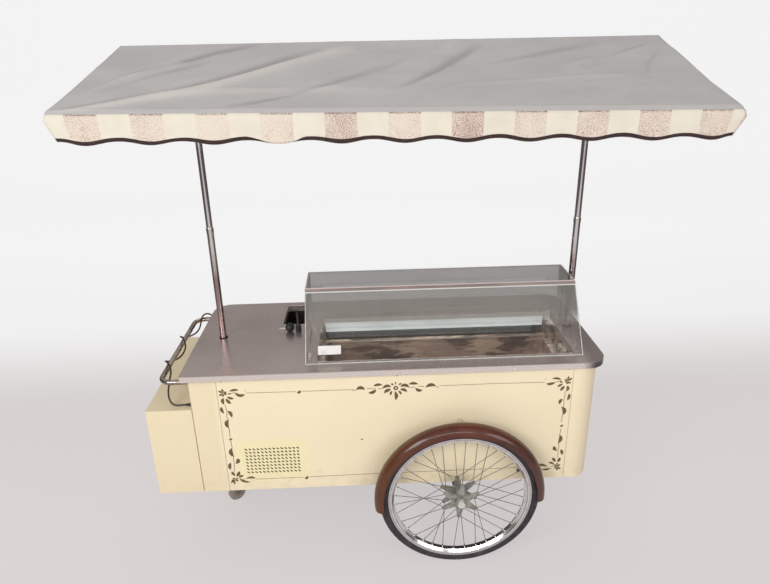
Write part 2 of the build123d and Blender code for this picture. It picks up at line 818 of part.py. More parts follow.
def castor_leg():
    """Square leg under the floor pan, with the plate that the castor's head turns in."""
    half = castor_leg_size / 2
    inner = half - castor_leg_wall
    plate_top = castor_plate_z + castor_plate_thickness
    plate_half = castor_plate_size / 2
    leg = block((castor_x - half, castor_x + half), (castor_y - half, castor_y + half),
                (plate_top, body_bottom_z))
    leg -= block((castor_x - inner, castor_x + inner), (castor_y - inner, castor_y + inner),
                 (plate_top + castor_stem_height, body_bottom_z))
    leg += block((castor_x - plate_half, castor_x + plate_half),
                 (castor_y - plate_half, castor_y + plate_half), (castor_plate_z, plate_top))
    leg -= rod((castor_x, castor_y, castor_plate_z),
               (castor_x, castor_y, plate_top + castor_stem_height), castor_stem_radius + running_clearance)
    return leg


def castor_place(shape):
    """Turn a piece drawn about the swivel axis to the castor's heading, and set it there."""
    return Pos(castor_x, castor_y, 0) * Rot(0, 0, castor_heading_angle) * shape


def castor_fork():
    crown_top = castor_plate_z - castor_play
    crown_low = crown_top - castor_crown_height
    inner = castor_wheel_width / 2 + castor_fork_gap
    outer = inner + castor_fork_plate
    fork = rod((0, 0, crown_low), (0, 0, crown_top), castor_crown_radius)
    fork += rod((0, 0, crown_top), (0, 0, castor_plate_z + castor_stem_height), castor_stem_radius)
    back = castor_cheek_setback - castor_crown_radius
    foot_z = castor_wheel_radius - castor_cheek_drop
    cheek = make_face(Polyline((back, 0, crown_low), (castor_crown_radius, 0, crown_low),
                               (castor_trail + castor_cheek_reach, 0, castor_wheel_radius),
                               (castor_trail + castor_cheek_foot, 0, foot_z),
                               (castor_trail - castor_cheek_foot, 0, foot_z), close=True))
    for side in (-1, 1):
        plate = extrude(cheek, castor_fork_plate, dir=(0, side, 0))
        fork += Pos(0, side * inner, 0) * plate
    bridge = block((back, castor_crown_radius), (-outer, outer),
                   (crown_low - castor_fork_plate, crown_low))
    fork += bridge
    fork -= rod((castor_trail, -outer, castor_wheel_radius), (castor_trail, outer, castor_wheel_radius),
                castor_bolt_radius)
    return castor_place(fork)


def castor_bolt():
    outer = castor_wheel_width / 2 + castor_fork_gap + castor_fork_plate
    bolt = rod((castor_trail, -outer, castor_wheel_radius), (castor_trail, outer, castor_wheel_radius),
               castor_bolt_radius)
    for start, end in ((-outer - castor_bolt_head_length, -outer), (outer, outer + castor_bolt_head_length)):
        bolt += rod((castor_trail, start, castor_wheel_radius), (castor_trail, end, castor_wheel_radius),
                    castor_bolt_head)
    return castor_place(bolt)


def castor_wheel():
    """The rubber tread and the plastic centre of the castor's wheel."""
    half = castor_wheel_width / 2
    ends = ((castor_trail, -half, castor_wheel_radius), (castor_trail, half, castor_wheel_radius))
    tread_inner = castor_wheel_radius - castor_tread
    tread = rod(*ends, castor_wheel_radius)
    tread = fillet(tread.edges().filter_by(GeomType.CIRCLE), castor_tread_rounding)
    tread -= rod(*ends, tread_inner)
    centre = rod(*ends, tread_inner) - rod(*ends, castor_bolt_radius + running_clearance)
    return castor_place(tread), castor_place(centre)


def door_opening():
    return block((door_left, door_right), (inside_back, body_back), (door_bottom_z, door_top_z))


def storage_door():
    return block((door_left + door_gap, door_right - door_gap), (inside_back, body_back),
                 (door_bottom_z + door_gap, door_top_z - door_gap))


def door_hinges():
    """Butt hinges: the lower knuckle and pin on the panel, the upper knuckle on the door."""
    hinge_x = door_left + door_gap / 2
    axis_y = body_back + hinge_leaf_thickness + hinge_knuckle_radius - hinge_bite
    leaf_y = (body_back, body_back + hinge_leaf_thickness)
    fixed = []
    moving = []
    for z in hinge_places_z:
        low = z - hinge_height / 2
        high = z + hinge_height / 2
        knuckle = rod((hinge_x, axis_y, low), (hinge_x, axis_y, z), hinge_knuckle_radius)
        knuckle += block((hinge_x - hinge_leaf_length, hinge_x), leaf_y, (low, z))
        knuckle += rod((hinge_x, axis_y, z), (hinge_x, axis_y, high - hinge_knuckle_radius),
                       hinge_pin_radius)
        fixed.append(knuckle)
        upper = rod((hinge_x, axis_y, z + hinge_play), (hinge_x, axis_y, high), hinge_knuckle_radius)
        upper += block((hinge_x, hinge_x + hinge_leaf_length), leaf_y, (z + hinge_play, high))
        upper -= rod((hinge_x, axis_y, z), (hinge_x, axis_y, high - hinge_knuckle_radius + hinge_play),
                     hinge_pin_radius + running_clearance)
        moving.append(upper)
    return fixed, moving


def door_pull():
    x = door_right - door_gap - pull_inset
    middle_z = (door_bottom_z + door_top_z) / 2
    low = middle_z - pull_length / 2
    high = middle_z + pull_length / 2
    grip_y = body_back + pull_stand_off
    pull = rod((x, grip_y, low - pull_rod_radius), (x, grip_y, high + pull_rod_radius), pull_rod_radius)
    for z in (low, high):
        pull += rod((x, body_back, z), (x, grip_y, z), pull_post_radius)
    return pull


def cone(start, direction, radii, length):
    """A round taper from a point along a direction, wide or narrow end first."""
    return Plane(origin=start, z_dir=direction) * Cone(*radii, length, align=(Align.CENTER, Align.CENTER, Align.MIN))


def cord_gland():
    """Flange on the body's end and the tapered relief that the lead comes out of."""
    seat_x = body_left - gland_flange_thickness
    flange = rod((seat_x, gland_y, gland_z), (body_left, gland_y, gland_z), gland_flange_radius)
    return flange + cone((seat_x, gland_y, gland_z), (-1, 0, 0), relief_end_radii, relief_length)


def power_cord():
    """Straight runs joined by tangent arcs, each as large as its two runs allow."""
    radii = []
    for before, corner, after in zip(cord_route, cord_route[1:], cord_route[2:]):
        arriving = Vector(*corner) - Vector(*before)
        leaving = Vector(*after) - Vector(*corner)
        half_turn = radians(arriving.get_angle(leaving)) / 2
        radii.append(arc_share * min(arriving.length, leaving.length) / tan(half_turn))
    path = FilletPolyline(*cord_route, radius=radii)
    start = Plane(origin=path @ 0, z_dir=path % 0)
    tube = sweep(start * Circle(cord_radius), path=path)
    print("cord radii from", round(min(radii), 1), "length", round(path.length, 1),
          "volume over section times length", round(tube.volume / (start * Circle(cord_radius)).area / path.length, 5))
    return tube


def power_plug():
    """Tapered relief, round body and two pins, lying on the locker's top."""
    x, y, z = cord_route[-1]
    body_y = y + relief_length
    pins_y = body_y + plug_body_length
    body = rod((x, body_y, z), (x, pins_y, z), plug_body_radius)
    plug = fillet(body.edges().filter_by(GeomType.CIRCLE), plug_body_rounding)
    plug += cone((x, y, z), (0, 1, 0), plug_relief_radii, relief_length)
    for side in (-1, 1):
        pin_x = x + side * plug_pin_spacing / 2
        plug += rod((pin_x, pins_y, z), (pin_x, pins_y + plug_pin_length, z), plug_pin_radius)
    return plug


save("counter_top", counter_top())

left_panel, right_panel, front_panel, back_panel = body_shell()
save("left_panel", left_panel)
save("right_panel", right_panel)
save("front_panel", front_panel - grille_cuts())
save("back_panel", back_panel - door_opening())
save("floor_pan", floor_pan())
save("end_locker", end_locker())
save("compressor", compressor())

save("well_tank", well_tank())
strip, rail, ledge = well_trim()
save("well_strip", strip)
save("well_rail", rail)
save("pan_ledge", ledge)
save("ring_fittings", *ring_fittings())

save("rinse_basin", rinse_basin())
tap_body, tap_knob, tap_lever = tap()
save("tap_body", tap_body)
save("tap_knob", tap_knob)
save("tap_lever", tap_lever)

pane_left, pane_right, pane_front, pane_top, pane_rail = glass_case()
save("glass_sides", pane_left, pane_right)
save("glass_front", pane_front)
save("glass_top", pane_top)
save("glass_edge_rail", pane_rail)
save("glass_clips", *pane_clips())

pole_piece_names = ("pole_sockets", "pole_lowers", "pole_collars", "pole_uppers", "pole_grommets")
for piece_name, left_piece, right_piece in zip(pole_piece_names, pole_parts(-1), pole_parts(1)):
    save(piece_name, left_piece, right_piece)

eave_frame, ridge_tube, frame_arms = canopy_frame()
save("canopy_eave_frame", eave_frame)
save("canopy_ridge_tube", ridge_tube)
save("canopy_arms", *frame_arms)
save("canopy_rafters", *hip_rafters(eave_frame, ridge_tube))
save("canopy_cover", canopy_cover())

save("push_handle", push_handle())

front_wheel_y = body_front - wheel_stand_off
back_wheel_y = body_back + wheel_stand_off
stays = []
for wheel_name, wheel_y, panel_y in (("front", front_wheel_y, body_front),
                                     ("back", back_wheel_y, body_back)):
    save(f"{wheel_name}_tyre", turned(tyre_profile(), wheel_y))
    save(f"{wheel_name}_rim", turned(rim_profile(), wheel_y))
    save(f"{wheel_name}_hub", wheel_hub(wheel_y))
    save(f"{wheel_name}_spokes", *wheel_spokes(wheel_y))
    save(f"{wheel_name}_fender", fender(wheel_y))
    stays += fender_stays(wheel_y, panel_y)
save("fender_stays", *stays)
axle_beam, axle_rod = axle_parts(front_wheel_y, back_wheel_y)
save("axle_beam", axle_beam)
save("axle", axle_rod)

save("castor_leg", castor_leg())
save("castor_fork", castor_fork())
save("castor_bolt", castor_bolt())
castor_tread_piece, castor_centre_piece = castor_wheel()
save("castor_tread", castor_tread_piece)
save("castor_centre", castor_centre_piece)

save("storage_door", storage_door())
hinges_fixed, hinges_moving = door_hinges()
save("hinges_fixed", *hinges_fixed)
save("hinges_moving", *hinges_moving)
save("door_pull", door_pull())

save("cord_gland", cord_gland())
save("power_cord", power_cord())
save("power_plug", power_plug())
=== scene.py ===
"""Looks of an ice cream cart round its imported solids: cloth, lead, paint, fasteners and finishes."""

import math

import bmesh
import bpy
from mathutils import Matrix, Vector, noise


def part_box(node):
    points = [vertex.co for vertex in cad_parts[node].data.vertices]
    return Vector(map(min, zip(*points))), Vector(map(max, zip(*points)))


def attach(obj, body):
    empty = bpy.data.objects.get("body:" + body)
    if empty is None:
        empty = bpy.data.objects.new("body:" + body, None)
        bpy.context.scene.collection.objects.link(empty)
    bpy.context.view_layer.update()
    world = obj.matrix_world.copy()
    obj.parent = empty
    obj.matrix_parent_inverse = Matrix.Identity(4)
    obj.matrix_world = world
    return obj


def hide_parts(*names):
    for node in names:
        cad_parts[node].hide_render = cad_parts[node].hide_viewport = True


bl_info = {
    "name": "Ice Cream Cart",
    "version": (1, 0, 0),
    "blender": (4, 5, 0),
    "location": "3D View > Sidebar > Cart",
    "description": "Dresses the packed solids of a two-wheeled ice cream cart",
    "category": "Object",
}

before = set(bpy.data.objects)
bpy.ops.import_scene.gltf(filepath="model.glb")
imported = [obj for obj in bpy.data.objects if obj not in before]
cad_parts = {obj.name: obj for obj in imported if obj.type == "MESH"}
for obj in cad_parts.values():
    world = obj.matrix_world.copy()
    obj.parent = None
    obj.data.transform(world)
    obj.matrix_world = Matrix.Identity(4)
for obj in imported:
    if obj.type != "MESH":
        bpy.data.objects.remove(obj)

MILLIMETRE = 0.001
cover_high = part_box("canopy_cover")[1]
counter_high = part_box("counter_top")[1]
panel_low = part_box("front_panel")[0]
pane_low, pane_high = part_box("glass_front")
tyre_low, tyre_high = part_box("front_tyre")
axle_place = (tyre_low + tyre_high) / 2

# The lead's route, the same points as its solid's
CORD_ROUTE = [
    (-842, -290, 753.5), (-862, -291, 753), (-882, -290, 751), (-901, -281, 757), (-913, -266, 776),
    (-914, -251, 805), (-907, -239, 838), (-902, -221, 865), (-913, -199, 880), (-930, -175, 884),
    (-945, -148, 874), (-951, -119, 857), (-941, -89, 840), (-923, -61, 836), (-907, -33, 844),
    (-901, -4, 862), (-911, 23, 878), (-928, 51, 884), (-944, 77, 875), (-951, 106, 857), (-941, 134, 840),
    (-923, 162, 836), (-908, 186, 836), (-898, 209, 844), (-894, 231, 858), (-894, 251, 875),
    (-891, 275, 885), (-880, 297, 885), (-864, 311, 875), (-851, 316, 852), (-843, 319, 826),
    (-845, 310, 799), (-854, 287, 775), (-865, 253, 757), (-872, 211, 748), (-872, 166, 747),
    (-865, 122, 747), (-855, 80, 747), (-848, 42, 747), (-846, 8, 747), (-846, -22, 747), (-861, -44, 747),
    (-886, -52, 747), (-911, -44, 747), (-926, -22, 747), (-927, 8, 747), (-921, 41, 748), (-909, 73, 751),
    (-900, 104, 757), (-900, 134, 757),
]

# Folds in the front of the roof: points X Y in mm along each fold, its height and its width in mm
ROOF_FOLDS = [
    ([(-1050, -481), (-858, -421), (-621, -329), (-443, -213), (-288, -124), (-121, -57)], 13.3, 34),
    ([(-1010, -447), (-799, -370), (-592, -274), (-409, -154), (-248, -61)], -15.2, 26),
    ([(-1046, -470), (-795, -385), (-505, -346), (-201, -346), (60, -352)], 6.6, 26),
    ([(-515, -434), (-351, -380), (-202, -293), (15, -169), (190, -80)], -10.4, 30),
    ([(-430, -430), (-260, -345), (-90, -240), (120, -110)], 6.6, 30),
    ([(-925, -321), (-793, -211), (-616, -129)], -6.6, 22),
    ([(-891, -225), (-626, -73), (-464, -14)], -8.5, 22),
    ([(-960, -330), (-860, -240), (-720, -120)], 6.6, 24),
    ([(-4, -328), (142, -206), (316, -39)], -8.5, 26),
    ([(-21, -217), (109, -120), (250, -18)], 6.6, 24),
    ([(-31, -401), (230, -318), (560, -285), (902, -258)], 4.9, 9),
    ([(320, -180), (520, -110), (760, -40)], -5.7, 24),
    ([(932, -45), (776, -126), (629, -220)], -6.6, 13),
    ([(922, -71), (731, -159), (560, -214)], 6.6, 15),
    ([(940, -90), (860, -190), (820, -300)], -4.8, 16),
]

# How much of the print is left on the front's stripes: X in mm and its share
STRIPE_PRINT = [
    (-950, 0.5), (-760, 0.35), (-560, 0.05), (-375, 0.2), (-185, 0.85), (5, 0.2), (200, 1.0), (390, 0.3),
    (580, 0.6), (770, 0.6), (960, 0.45),
]

# The painted border, in mm on the front panel: each leaf's start, middle and end X Z, and its width
LEAVES = [
    (-661.6, 819.3, -644.5, 826.5, -625.8, 823.5, 5.6), (-642.2, 810.6, -623.1, 797.1, -604.4, 805.8, 7),
    (-669.7, 808.6, -662.8, 809.3, -655.7, 811.2, 3.7), (-672.3, 797.6, -662.3, 789.2, -647.9, 787.6, 6),
    (-678.6, 789.9, -672.1, 775.2, -660.9, 764.5, 7.2), (-685.4, 790.2, -694.4, 779.4, -687.3, 762.4, 7.2),
    (-700.8, 752.3, -701.1, 737.8, -693.9, 721.2, 6.5), (-678.3, 731.9, -666.9, 723.3, -665.1, 702, 7.7),
    (-678.6, 692.7, -691.5, 676.8, -681.7, 653.2, 8.8), (-687.9, 602.2, -680.5, 600.5, -674.1, 607.6, 4.8),
    (-679.3, 560.3, -690.3, 538.5, -675.5, 517, 9), (-664.9, 509.6, -660.7, 495.4, -673.4, 483.8, 9),
    (-692.8, 490, -700.5, 472.9, -696.7, 455.1, 7.5), (-693.4, 446, -690, 437, -681.5, 422.4, 6.7),
    (-663, 446.3, -667.4, 432.3, -676.5, 420.3, 7.5), (-669.1, 416.4, -658.5, 421.2, -647.8, 426, 5.5),
    (-639.6, 407.8, -615.5, 415.5, -602, 405.9, 5.8), (-665.7, 407.3, -649.7, 393.9, -623.8, 390.8, 6),
    (588.4, 823.9, 607.5, 826.3, 624.8, 817.7, 5.3), (567.9, 804.4, 582.2, 799.1, 604.8, 809.2, 6.3),
    (616.9, 813.4, 624.1, 809.9, 630.8, 803.4, 3.9), (610.8, 788.5, 621.5, 792.8, 633.3, 800.1, 5.3),
    (625, 767.9, 632.3, 779.7, 640.3, 789.4, 6.7), (648.1, 789.1, 656.9, 778.6, 647.6, 764.8, 6.7),
    (661, 754.6, 663.8, 740.1, 656.4, 722.8, 6.3), (638.1, 730, 627.6, 722.4, 627.6, 706.3, 7.2),
    (635.7, 694.6, 652.7, 677.6, 644.7, 656.6, 8.7), (638.2, 601.3, 644.9, 605.3, 650.8, 610, 5),
    (640.2, 561.9, 649.2, 541.1, 636.5, 521.2, 8.5), (624.6, 508.1, 622.7, 496.1, 635.2, 485.2, 8),
    (650.8, 489.6, 657.5, 479, 658.9, 463.3, 7.2), (619.2, 451.2, 626.6, 442.1, 635.6, 429.4, 6.7),
    (649.8, 451.5, 649.4, 439.3, 642.5, 427.3, 7), (605, 427.4, 618.2, 426.7, 629.3, 417.4, 5.7),
    (561.8, 418.9, 579.4, 418.1, 602.2, 408.1, 6.2), (579.7, 395.1, 599, 392.4, 619, 400.2, 5.2),
    (-22, 822.9, -22.4, 830, -21.8, 837, 3), (-30.6, 821.3, -35, 825.4, -39.9, 829, 4.5),
    (-10.9, 821.6, -5.4, 825, 0.6, 829, 3.9), (-4, 812.8, 13.8, 822.8, 31.1, 807.4, 7.7),
    (-4.9, 801.5, 10, 800.8, 22.3, 789.5, 6.9), (-12.4, 795.5, -4.3, 788, -1.4, 777.3, 5.2),
    (-26.1, 794.7, -18.4, 772.9, -24.6, 754.4, 7.7), (-35.5, 795.1, -42.3, 786.8, -42.5, 776.2, 5.2),
    (-40.3, 801.8, -55.7, 800.2, -67.9, 786.4, 7.7), (-40.2, 811.5, -55.3, 822.3, -74.9, 807.3, 7),
    (-108.4, 819.4, -92.2, 827.3, -73.1, 823.6, 6.2), (-128.9, 792.5, -110.4, 790.5, -98.9, 806, 7.3),
    (-174.2, 805.8, -159, 818.2, -140.9, 804.9, 8.2), (28.2, 822.8, 46, 827.7, 64.8, 822.1, 6.5),
    (54.6, 806.9, 65.8, 792.2, 82.2, 795.8, 7.3), (93.6, 804.7, 114.1, 820.1, 134.1, 809.3, 8.2),
    (-404.2, 802.4, -395.6, 804.1, -388.7, 812.8, 6.4), (-401.1, 398.1, -392.8, 398.6, -386.3, 408.9, 6.7),
]
STEMS = [
    [(-684.6, 761.3), (-681.1, 732.1), (-684.2, 704.5), (-678.8, 691.1)],
    [(-680.9, 654.8), (-681.5, 634.8), (-681.9, 611.3)],
    [(-681.2, 597.1), (-680.8, 577.4), (-678.7, 558.5)],
    [(-679.6, 518.9), (-679.1, 484.1), (-683.4, 444.8)],
    [(-657.1, 811.2), (-641.8, 813.7), (-627.5, 806.8)],
    [(-642.5, 407.2), (-654.6, 403.1), (-666.6, 412.7)],
    [(643.4, 764.9), (646.1, 750.5), (642.8, 725), (645.4, 702.3), (640.3, 689.5)],
    [(643.7, 658.3), (643, 640.2), (642.9, 622)],
    [(643.3, 592), (642.3, 576.9), (640.3, 560.2)],
    [(639.2, 522.8), (642.7, 505.5), (639, 481.6), (643.1, 467.5), (639.4, 453.7)],
    [(618.5, 405.6), (630.9, 415.6)],
    [(604.8, 809.2), (617.2, 810.2)],
    [(-133.3, 810.6), (-100.1, 807.2)],
    [(-90.2, 808.8), (-74.1, 807.2)],
    [(-190.4, 803), (-173, 806.6)],
    [(32.3, 808.4), (53.4, 809.8)],
    [(65.8, 813.6), (89.4, 809.7)],
    [(134.1, 809.3), (145.3, 803.1)],
]
# Flowers: middle X Z, radius of the ring, and the tips of the petals
FLOWERS = [
    (-686.4, 810.3, 6.0,
     [(-703.9, 823.3), (-690.3, 832.5), (-674.3, 820.5), (-672.8, 809.7), (-702.6, 802.1), (-687.9, 797.6)]),
    (-685.6, 405.8, 5.7,
     [(-697.9, 399.9), (-701.5, 388.6), (-688.4, 380.7), (-671, 398.6), (-672, 413.7), (-693.4, 414)]),
    (648.4, 810.5, 5.6,
     [(652.4, 833.4), (666.9, 825.4), (664.7, 801.7), (651.8, 797.8), (638.2, 819.7), (641.1, 805.8)]),
    (642.3, 408.7, 5.9,
     [(655.2, 415.8), (659.6, 392.9), (646, 385.8), (632.7, 397.8), (628.9, 415), (641.1, 423.5)]),
    (-21.7, 808.1, 8.9,
     []),
]
BORDER_LINES = [
    [(-598, 810.2), (-500, 809.4), (-408, 808.3)],
    [(-384, 808.8), (-280, 808.6), (-186, 807.7)],
    [(147, 811), (350, 812), (560, 809.6)],
    [(-600, 404), (-500, 403.8), (-405, 403.9)],
    [(-382, 404.8), (-250, 406), (-116, 407), (80, 408), (400, 409), (560, 409)],
]
DOTS = [(-599.7, 819.9), (562.4, 821.9)]


# Plain finishes: the name; the noise's scale, detail, roughness and stretch; the part of it that is used;
# the two colours it goes between; the least roughness and what the noise adds; constants; the nodes
PLAIN_METALS = [
    # The ledge steel goes nearly white: a painted highlight, so the ledge shows as a bright line
    ("ledge steel", (5, 3, 0.55, (1, 6, 6)), (0.40, 0.60), (196, 186, 176), (255, 250, 240), (0.2, 0.15),
     {"Metallic": 0.25}, "pan_ledge"),
    # The basin steel is much darker than the counter's: painted shade inside the basin
    ("basin steel", (14, 4, 0.6), (0.35, 0.65), (84, 68, 66), (116, 98, 94), (0.25, 0.2),
     {"Metallic": 0.8}, "rinse_basin"),
    ("chrome plate", (40, 3), (0.4, 0.8), (222, 214, 212), (196, 186, 184), (0.07, 0.08),
     {"Metallic": 1.0}, "door_pull", "glass_clips"),
    ("handle chrome", (18, 4, 0.6), (0.35, 0.7), (196, 184, 174), (128, 112, 104), (0.08, 0.1),
     {"Metallic": 1.0}, "push_handle"),
    ("zinc plate", (55, 4, 0.65), (0.3, 0.7), (176, 178, 168), (130, 132, 124), (0.30, 0.25),
     {"Metallic": 0.6}, "front_hub", "back_hub", "hinges_fixed", "hinges_moving"),
    ("bright steel", (120, 3), (0.3, 0.7), (244, 240, 234), (214, 208, 200), (0.14, 0.12),
     {"Metallic": 0.55}, "axle", "tap_lever", "ring_fittings"),
    ("castor steel", (70, 4, 0.65), (0.4, 0.75), (150, 140, 132), (112, 92, 80), (0.4, 0.25),
     {"Metallic": 0.5}, "castor_fork", "castor_bolt", "castor_leg"),
    ("canopy frame aluminium", (30, 3), (0.3, 0.7), (188, 188, 190), (160, 160, 164), (0.4, 0.2),
     {"Metallic": 0.8}, "canopy_eave_frame", "canopy_ridge_tube", "canopy_arms", "canopy_rafters"),
    ("frame primer", (20, 4), (0.3, 0.7), (74, 74, 76), (96, 94, 92), (0.6, 0.2),
     {}, "floor_pan", "pole_sockets", "axle_beam", "compressor"),
]
PLAIN_PAINTS = [
    # Painted shade: the stays' cream is darker than the body's, so they do not show lit
    ("stay paint", (60, 4), (0.3, 0.7), (208, 190, 156), (184, 164, 130), (0.4, 0.2),
     {"Coat_Weight": 0.2}, "fender_stays"),
]
PLAIN_PLASTICS = [
    # Painted light: the castor rubber is lighter than it is, against the shade under the body
    ("castor rubber", (90, 4), (0.35, 0.75), (142, 130, 122), (176, 166, 158), (0.6, 0.2),
     {}, "castor_tread", "castor_centre"),
    ("black plastic", (80, 3), (0.4, 0.8), (26, 25, 26), (52, 50, 50), (0.4, 0.2),
     {}, "tap_body", "tap_knob", "pole_grommets", "cord_gland"),
    ("matt black rail", (40, 3, 0.55, (1, 6, 6)), (0.35, 0.75), (18, 17, 18), (44, 42, 42), (0.7, 0.2),
     {"Specular_IOR_Level": 0.1}, "well_rail"),
]


class Quantity:
    """A shader socket that takes part in Python arithmetic, each operation adding its Math node."""

    def __init__(self, tree, socket):
        self.tree = tree
        self.socket = socket

    def step(self, first, last, start=0.0, end=1.0):
        """From start at the first value to end at the last, smooth between; the first may be the higher."""
        (low, at_low), (high, at_high) = sorted(((first, start), (last, end)))
        node = self.tree.node("ShaderNodeMapRange", {"interpolation_type": "SMOOTHSTEP"},
                              {0: self, 1: low, 2: high, 3: at_low, 4: at_high})
        return Quantity(self.tree, node.outputs[0])


def adds_node(operation, order):
    """A method that adds one Math node to the quantity and the method's arguments, taken in that order."""
    def method(self, *others):
        values = [(self, *others)[place] for place in order]
        node = self.tree.node("ShaderNodeMath", {"operation": operation}, dict(enumerate(values)))
        return Quantity(self.tree, node.outputs[0])
    return method


for key, operation, order in (("__add__", "ADD", (0, 1)), ("__radd__", "ADD", (1, 0)),
                              ("__sub__", "SUBTRACT", (0, 1)), ("__rsub__", "SUBTRACT", (1, 0)),
                              ("__mul__", "MULTIPLY", (0, 1)), ("__truediv__", "DIVIDE", (0, 1)),
                              ("__pow__", "POWER", (0, 1)), ("__abs__", "ABSOLUTE", (0,)),
                              ("sine", "SINE", (0,)), ("wrap", "WRAP", (0, 2, 1)),
                              ("angle_to", "ARCTAN2", (0, 1)), ("most", "MAXIMUM", (0, 1))):
    setattr(Quantity, key, adds_node(operation, order))


class Tree:
    """A node tree while it is built, with the one way it adds nodes."""

    def __init__(self, tree):
        self.tree = tree

    def node(self, kind, settings=None, inputs=None):
        """Adds a node: its settings first, then a value or link for each input by name or number."""
        made = self.tree.nodes.new(kind)
        for key, value in (settings or {}).items():
            setattr(made, key, value)
        for key, value in (inputs or {}).items():
            self.join(value, made.inputs[key])
        return made

    def join(self, value, socket):
        if isinstance(value, Quantity):
            value = value.socket
        if isinstance(value, bpy.types.NodeSocket):
            self.tree.links.new(value, socket)
        else:
            socket.default_value = value

    def points(self, stretch=(1, 1, 1)):
        """Object coordinates, stretched."""
        coordinates = self.node("ShaderNodeTexCoord").outputs["Object"]
        if stretch == (1, 1, 1):
            return coordinates
        return self.node("ShaderNodeMapping", {}, {"Vector": coordinates, "Scale": stretch}).outputs[0]

    def axes(self, vector=None):
        """X, Y and Z of a vector, or of the object coordinates."""
        split = self.node("ShaderNodeSeparateXYZ", {}, {0: vector or self.points()})
        return [Quantity(self, s) for s in split.outputs]


class Finish(Tree):
    """One material while it is built, with its principled shader."""

    def __init__(self, name, **constants):
        self.material = bpy.data.materials.new(name)
        self.material.use_nodes = True
        super().__init__(self.material.node_tree)
        self.shader = next(n for n in self.tree.nodes if n.type == "BSDF_PRINCIPLED")
        self.output = next(n for n in self.tree.nodes if n.type == "OUTPUT_MATERIAL")
        for socket, value in constants.items():
            self.shader.inputs[socket.replace("_", " ")].default_value = value

    def cloud(self, scale, detail=3.0, roughness=0.55, stretch=(1, 1, 1)):
        """Soft noise from 0 to 1."""
        made = self.node("ShaderNodeTexNoise", {}, {"Vector": self.points(stretch), "Scale": scale,
                                                    "Detail": detail, "Roughness": roughness})
        return Quantity(self, made.outputs[0])

    def ramp(self, position, stops):
        """A quantity read off a row of stops, each its position and value."""
        made = self.node("ShaderNodeValToRGB", {}, {0: position})
        elements = made.color_ramp.elements
        elements.remove(elements[1])
        for i, (place, value) in enumerate(stops):
            element = elements.new(place) if i else elements[0]
            element.position = place
            element.color = (value, value, value, 1)
        return Quantity(self, made.outputs[0])

    def blend(self, factor, first, second):
        """Colour mix: the first at 0, the second at 1."""
        made = self.node("ShaderNodeMix", {"data_type": "RGBA"})
        named = {s.identifier: s for s in made.inputs}
        for value, key in ((factor, "Factor_Float"), (first, "A_Color"), (second, "B_Color")):
            self.join((*value, 1) if isinstance(value, tuple) else value, named[key])
        return next(s for s in made.outputs if s.identifier == "Result_Color")

    def coats(self, colour, *coats):
        """A colour with others laid over it one by one, each as its factor and its sRGB colour."""
        for factor, over in coats:
            colour = self.blend(factor, colour, srgb(*over))
        return colour

    def mix(self, factor, first, second):
        """Shader mix: the first at 0, the second at 1."""
        return self.node("ShaderNodeMixShader", {}, {0: factor, 1: first, 2: second}).outputs[0]

    def emission(self, colour):
        return self.node("ShaderNodeEmission", {}, {"Color": colour, "Strength": 1.0}).outputs[0]

    def colour(self, value):
        self.join(value, self.shader.inputs["Base Color"])

    def rough(self, value):
        self.join(value, self.shader.inputs["Roughness"])

    def relief(self, *layers):
        """Bump nodes one on another: (height, depth in metres)."""
        below = {}
        for height, depth in layers:
            inputs = {"Height": height, "Distance": depth, "Strength": 1.0, **below}
            made = self.node("ShaderNodeBump", {}, inputs)
            below = {"Normal": made.outputs[0]}
        self.join(made.outputs[0], self.shader.inputs["Normal"])


def mottled(name, cloud, part, first, second, rough=None, grain=None, depth=None, **constants):
    """A finish that goes from one colour to another with a noise, which can also vary its roughness.

    The relief is of a finer noise, grain its scale, or of the same noise without one, and depth its depth.
    """
    finish = Finish(name, **constants)
    patch = finish.cloud(*cloud)
    finish.colour(finish.blend(patch.step(*part) if part else patch, first, second))
    if rough:
        finish.rough(rough[0] + patch * rough[1])
    if depth:
        finish.relief((finish.cloud(grain, 2) if grain else patch, depth))
    return finish


def plain_finishes(rows):
    for name, cloud, part, first, second, rough, constants, *nodes in rows:
        finish_nodes(mottled(name, cloud, part, srgb(*first), srgb(*second), rough, **constants), *nodes)


def srgb(red, green, blue):
    """Linear colour of an sRGB one given as 0 to 255."""
    shares = [c / 255 for c in (red, green, blue)]
    return tuple(c / 12.92 if c <= 0.04045 else ((c + 0.055) / 1.055) ** 2.4 for c in shares)


def wheel_place(finish):
    """Distance from the wheels' axle and the turn about it, for the finishes of what turns on it."""
    x, _, z = finish.axes()
    across, above = x - axle_place.x, z - axle_place.z
    return (across ** 2 + above ** 2) ** 0.5, above.angle_to(across)


def finish_nodes(finish, *names):
    """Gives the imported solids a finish."""
    for name in names:
        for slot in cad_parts[name].material_slots:
            slot.material = finish.material


def linked(name, data):
    """A new object in the scene."""
    made = bpy.data.objects.new(name, data)
    bpy.context.scene.collection.objects.link(made)
    return made


def new_piece(name, mesh, finish, body="cart", smooth=True):
    """A finished mesh as a piece on a body."""
    mesh.materials.clear()
    mesh.materials.append(finish.material)
    if smooth:
        mesh.shade_smooth()
    piece = linked(name, mesh)
    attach(piece, body)
    return piece


def evaluated(holder):
    """The plain mesh that an object's modifiers or its bevel make."""
    bpy.context.view_layer.update()
    return bpy.data.meshes.new_from_object(holder.evaluated_get(bpy.context.evaluated_depsgraph_get()))


def mesh_from(name, vertices, faces):
    mesh = bpy.data.meshes.new(name)
    mesh.from_pydata([tuple(v) for v in vertices], [], faces)
    mesh.update()
    return mesh


def outward(mesh):
    """Points every face of a closed mesh outwards."""
    work = bmesh.new()
    work.from_mesh(mesh)
    bmesh.ops.recalc_face_normals(work, faces=work.faces)
    work.to_mesh(mesh)
    work.free()
    return mesh


def circle(radius, height, sides):
    """Points on a circle round Z."""
    turns = [2 * math.pi * k / sides for k in range(sides)]
    return [(radius * math.cos(turn), radius * math.sin(turn), height) for turn in turns]


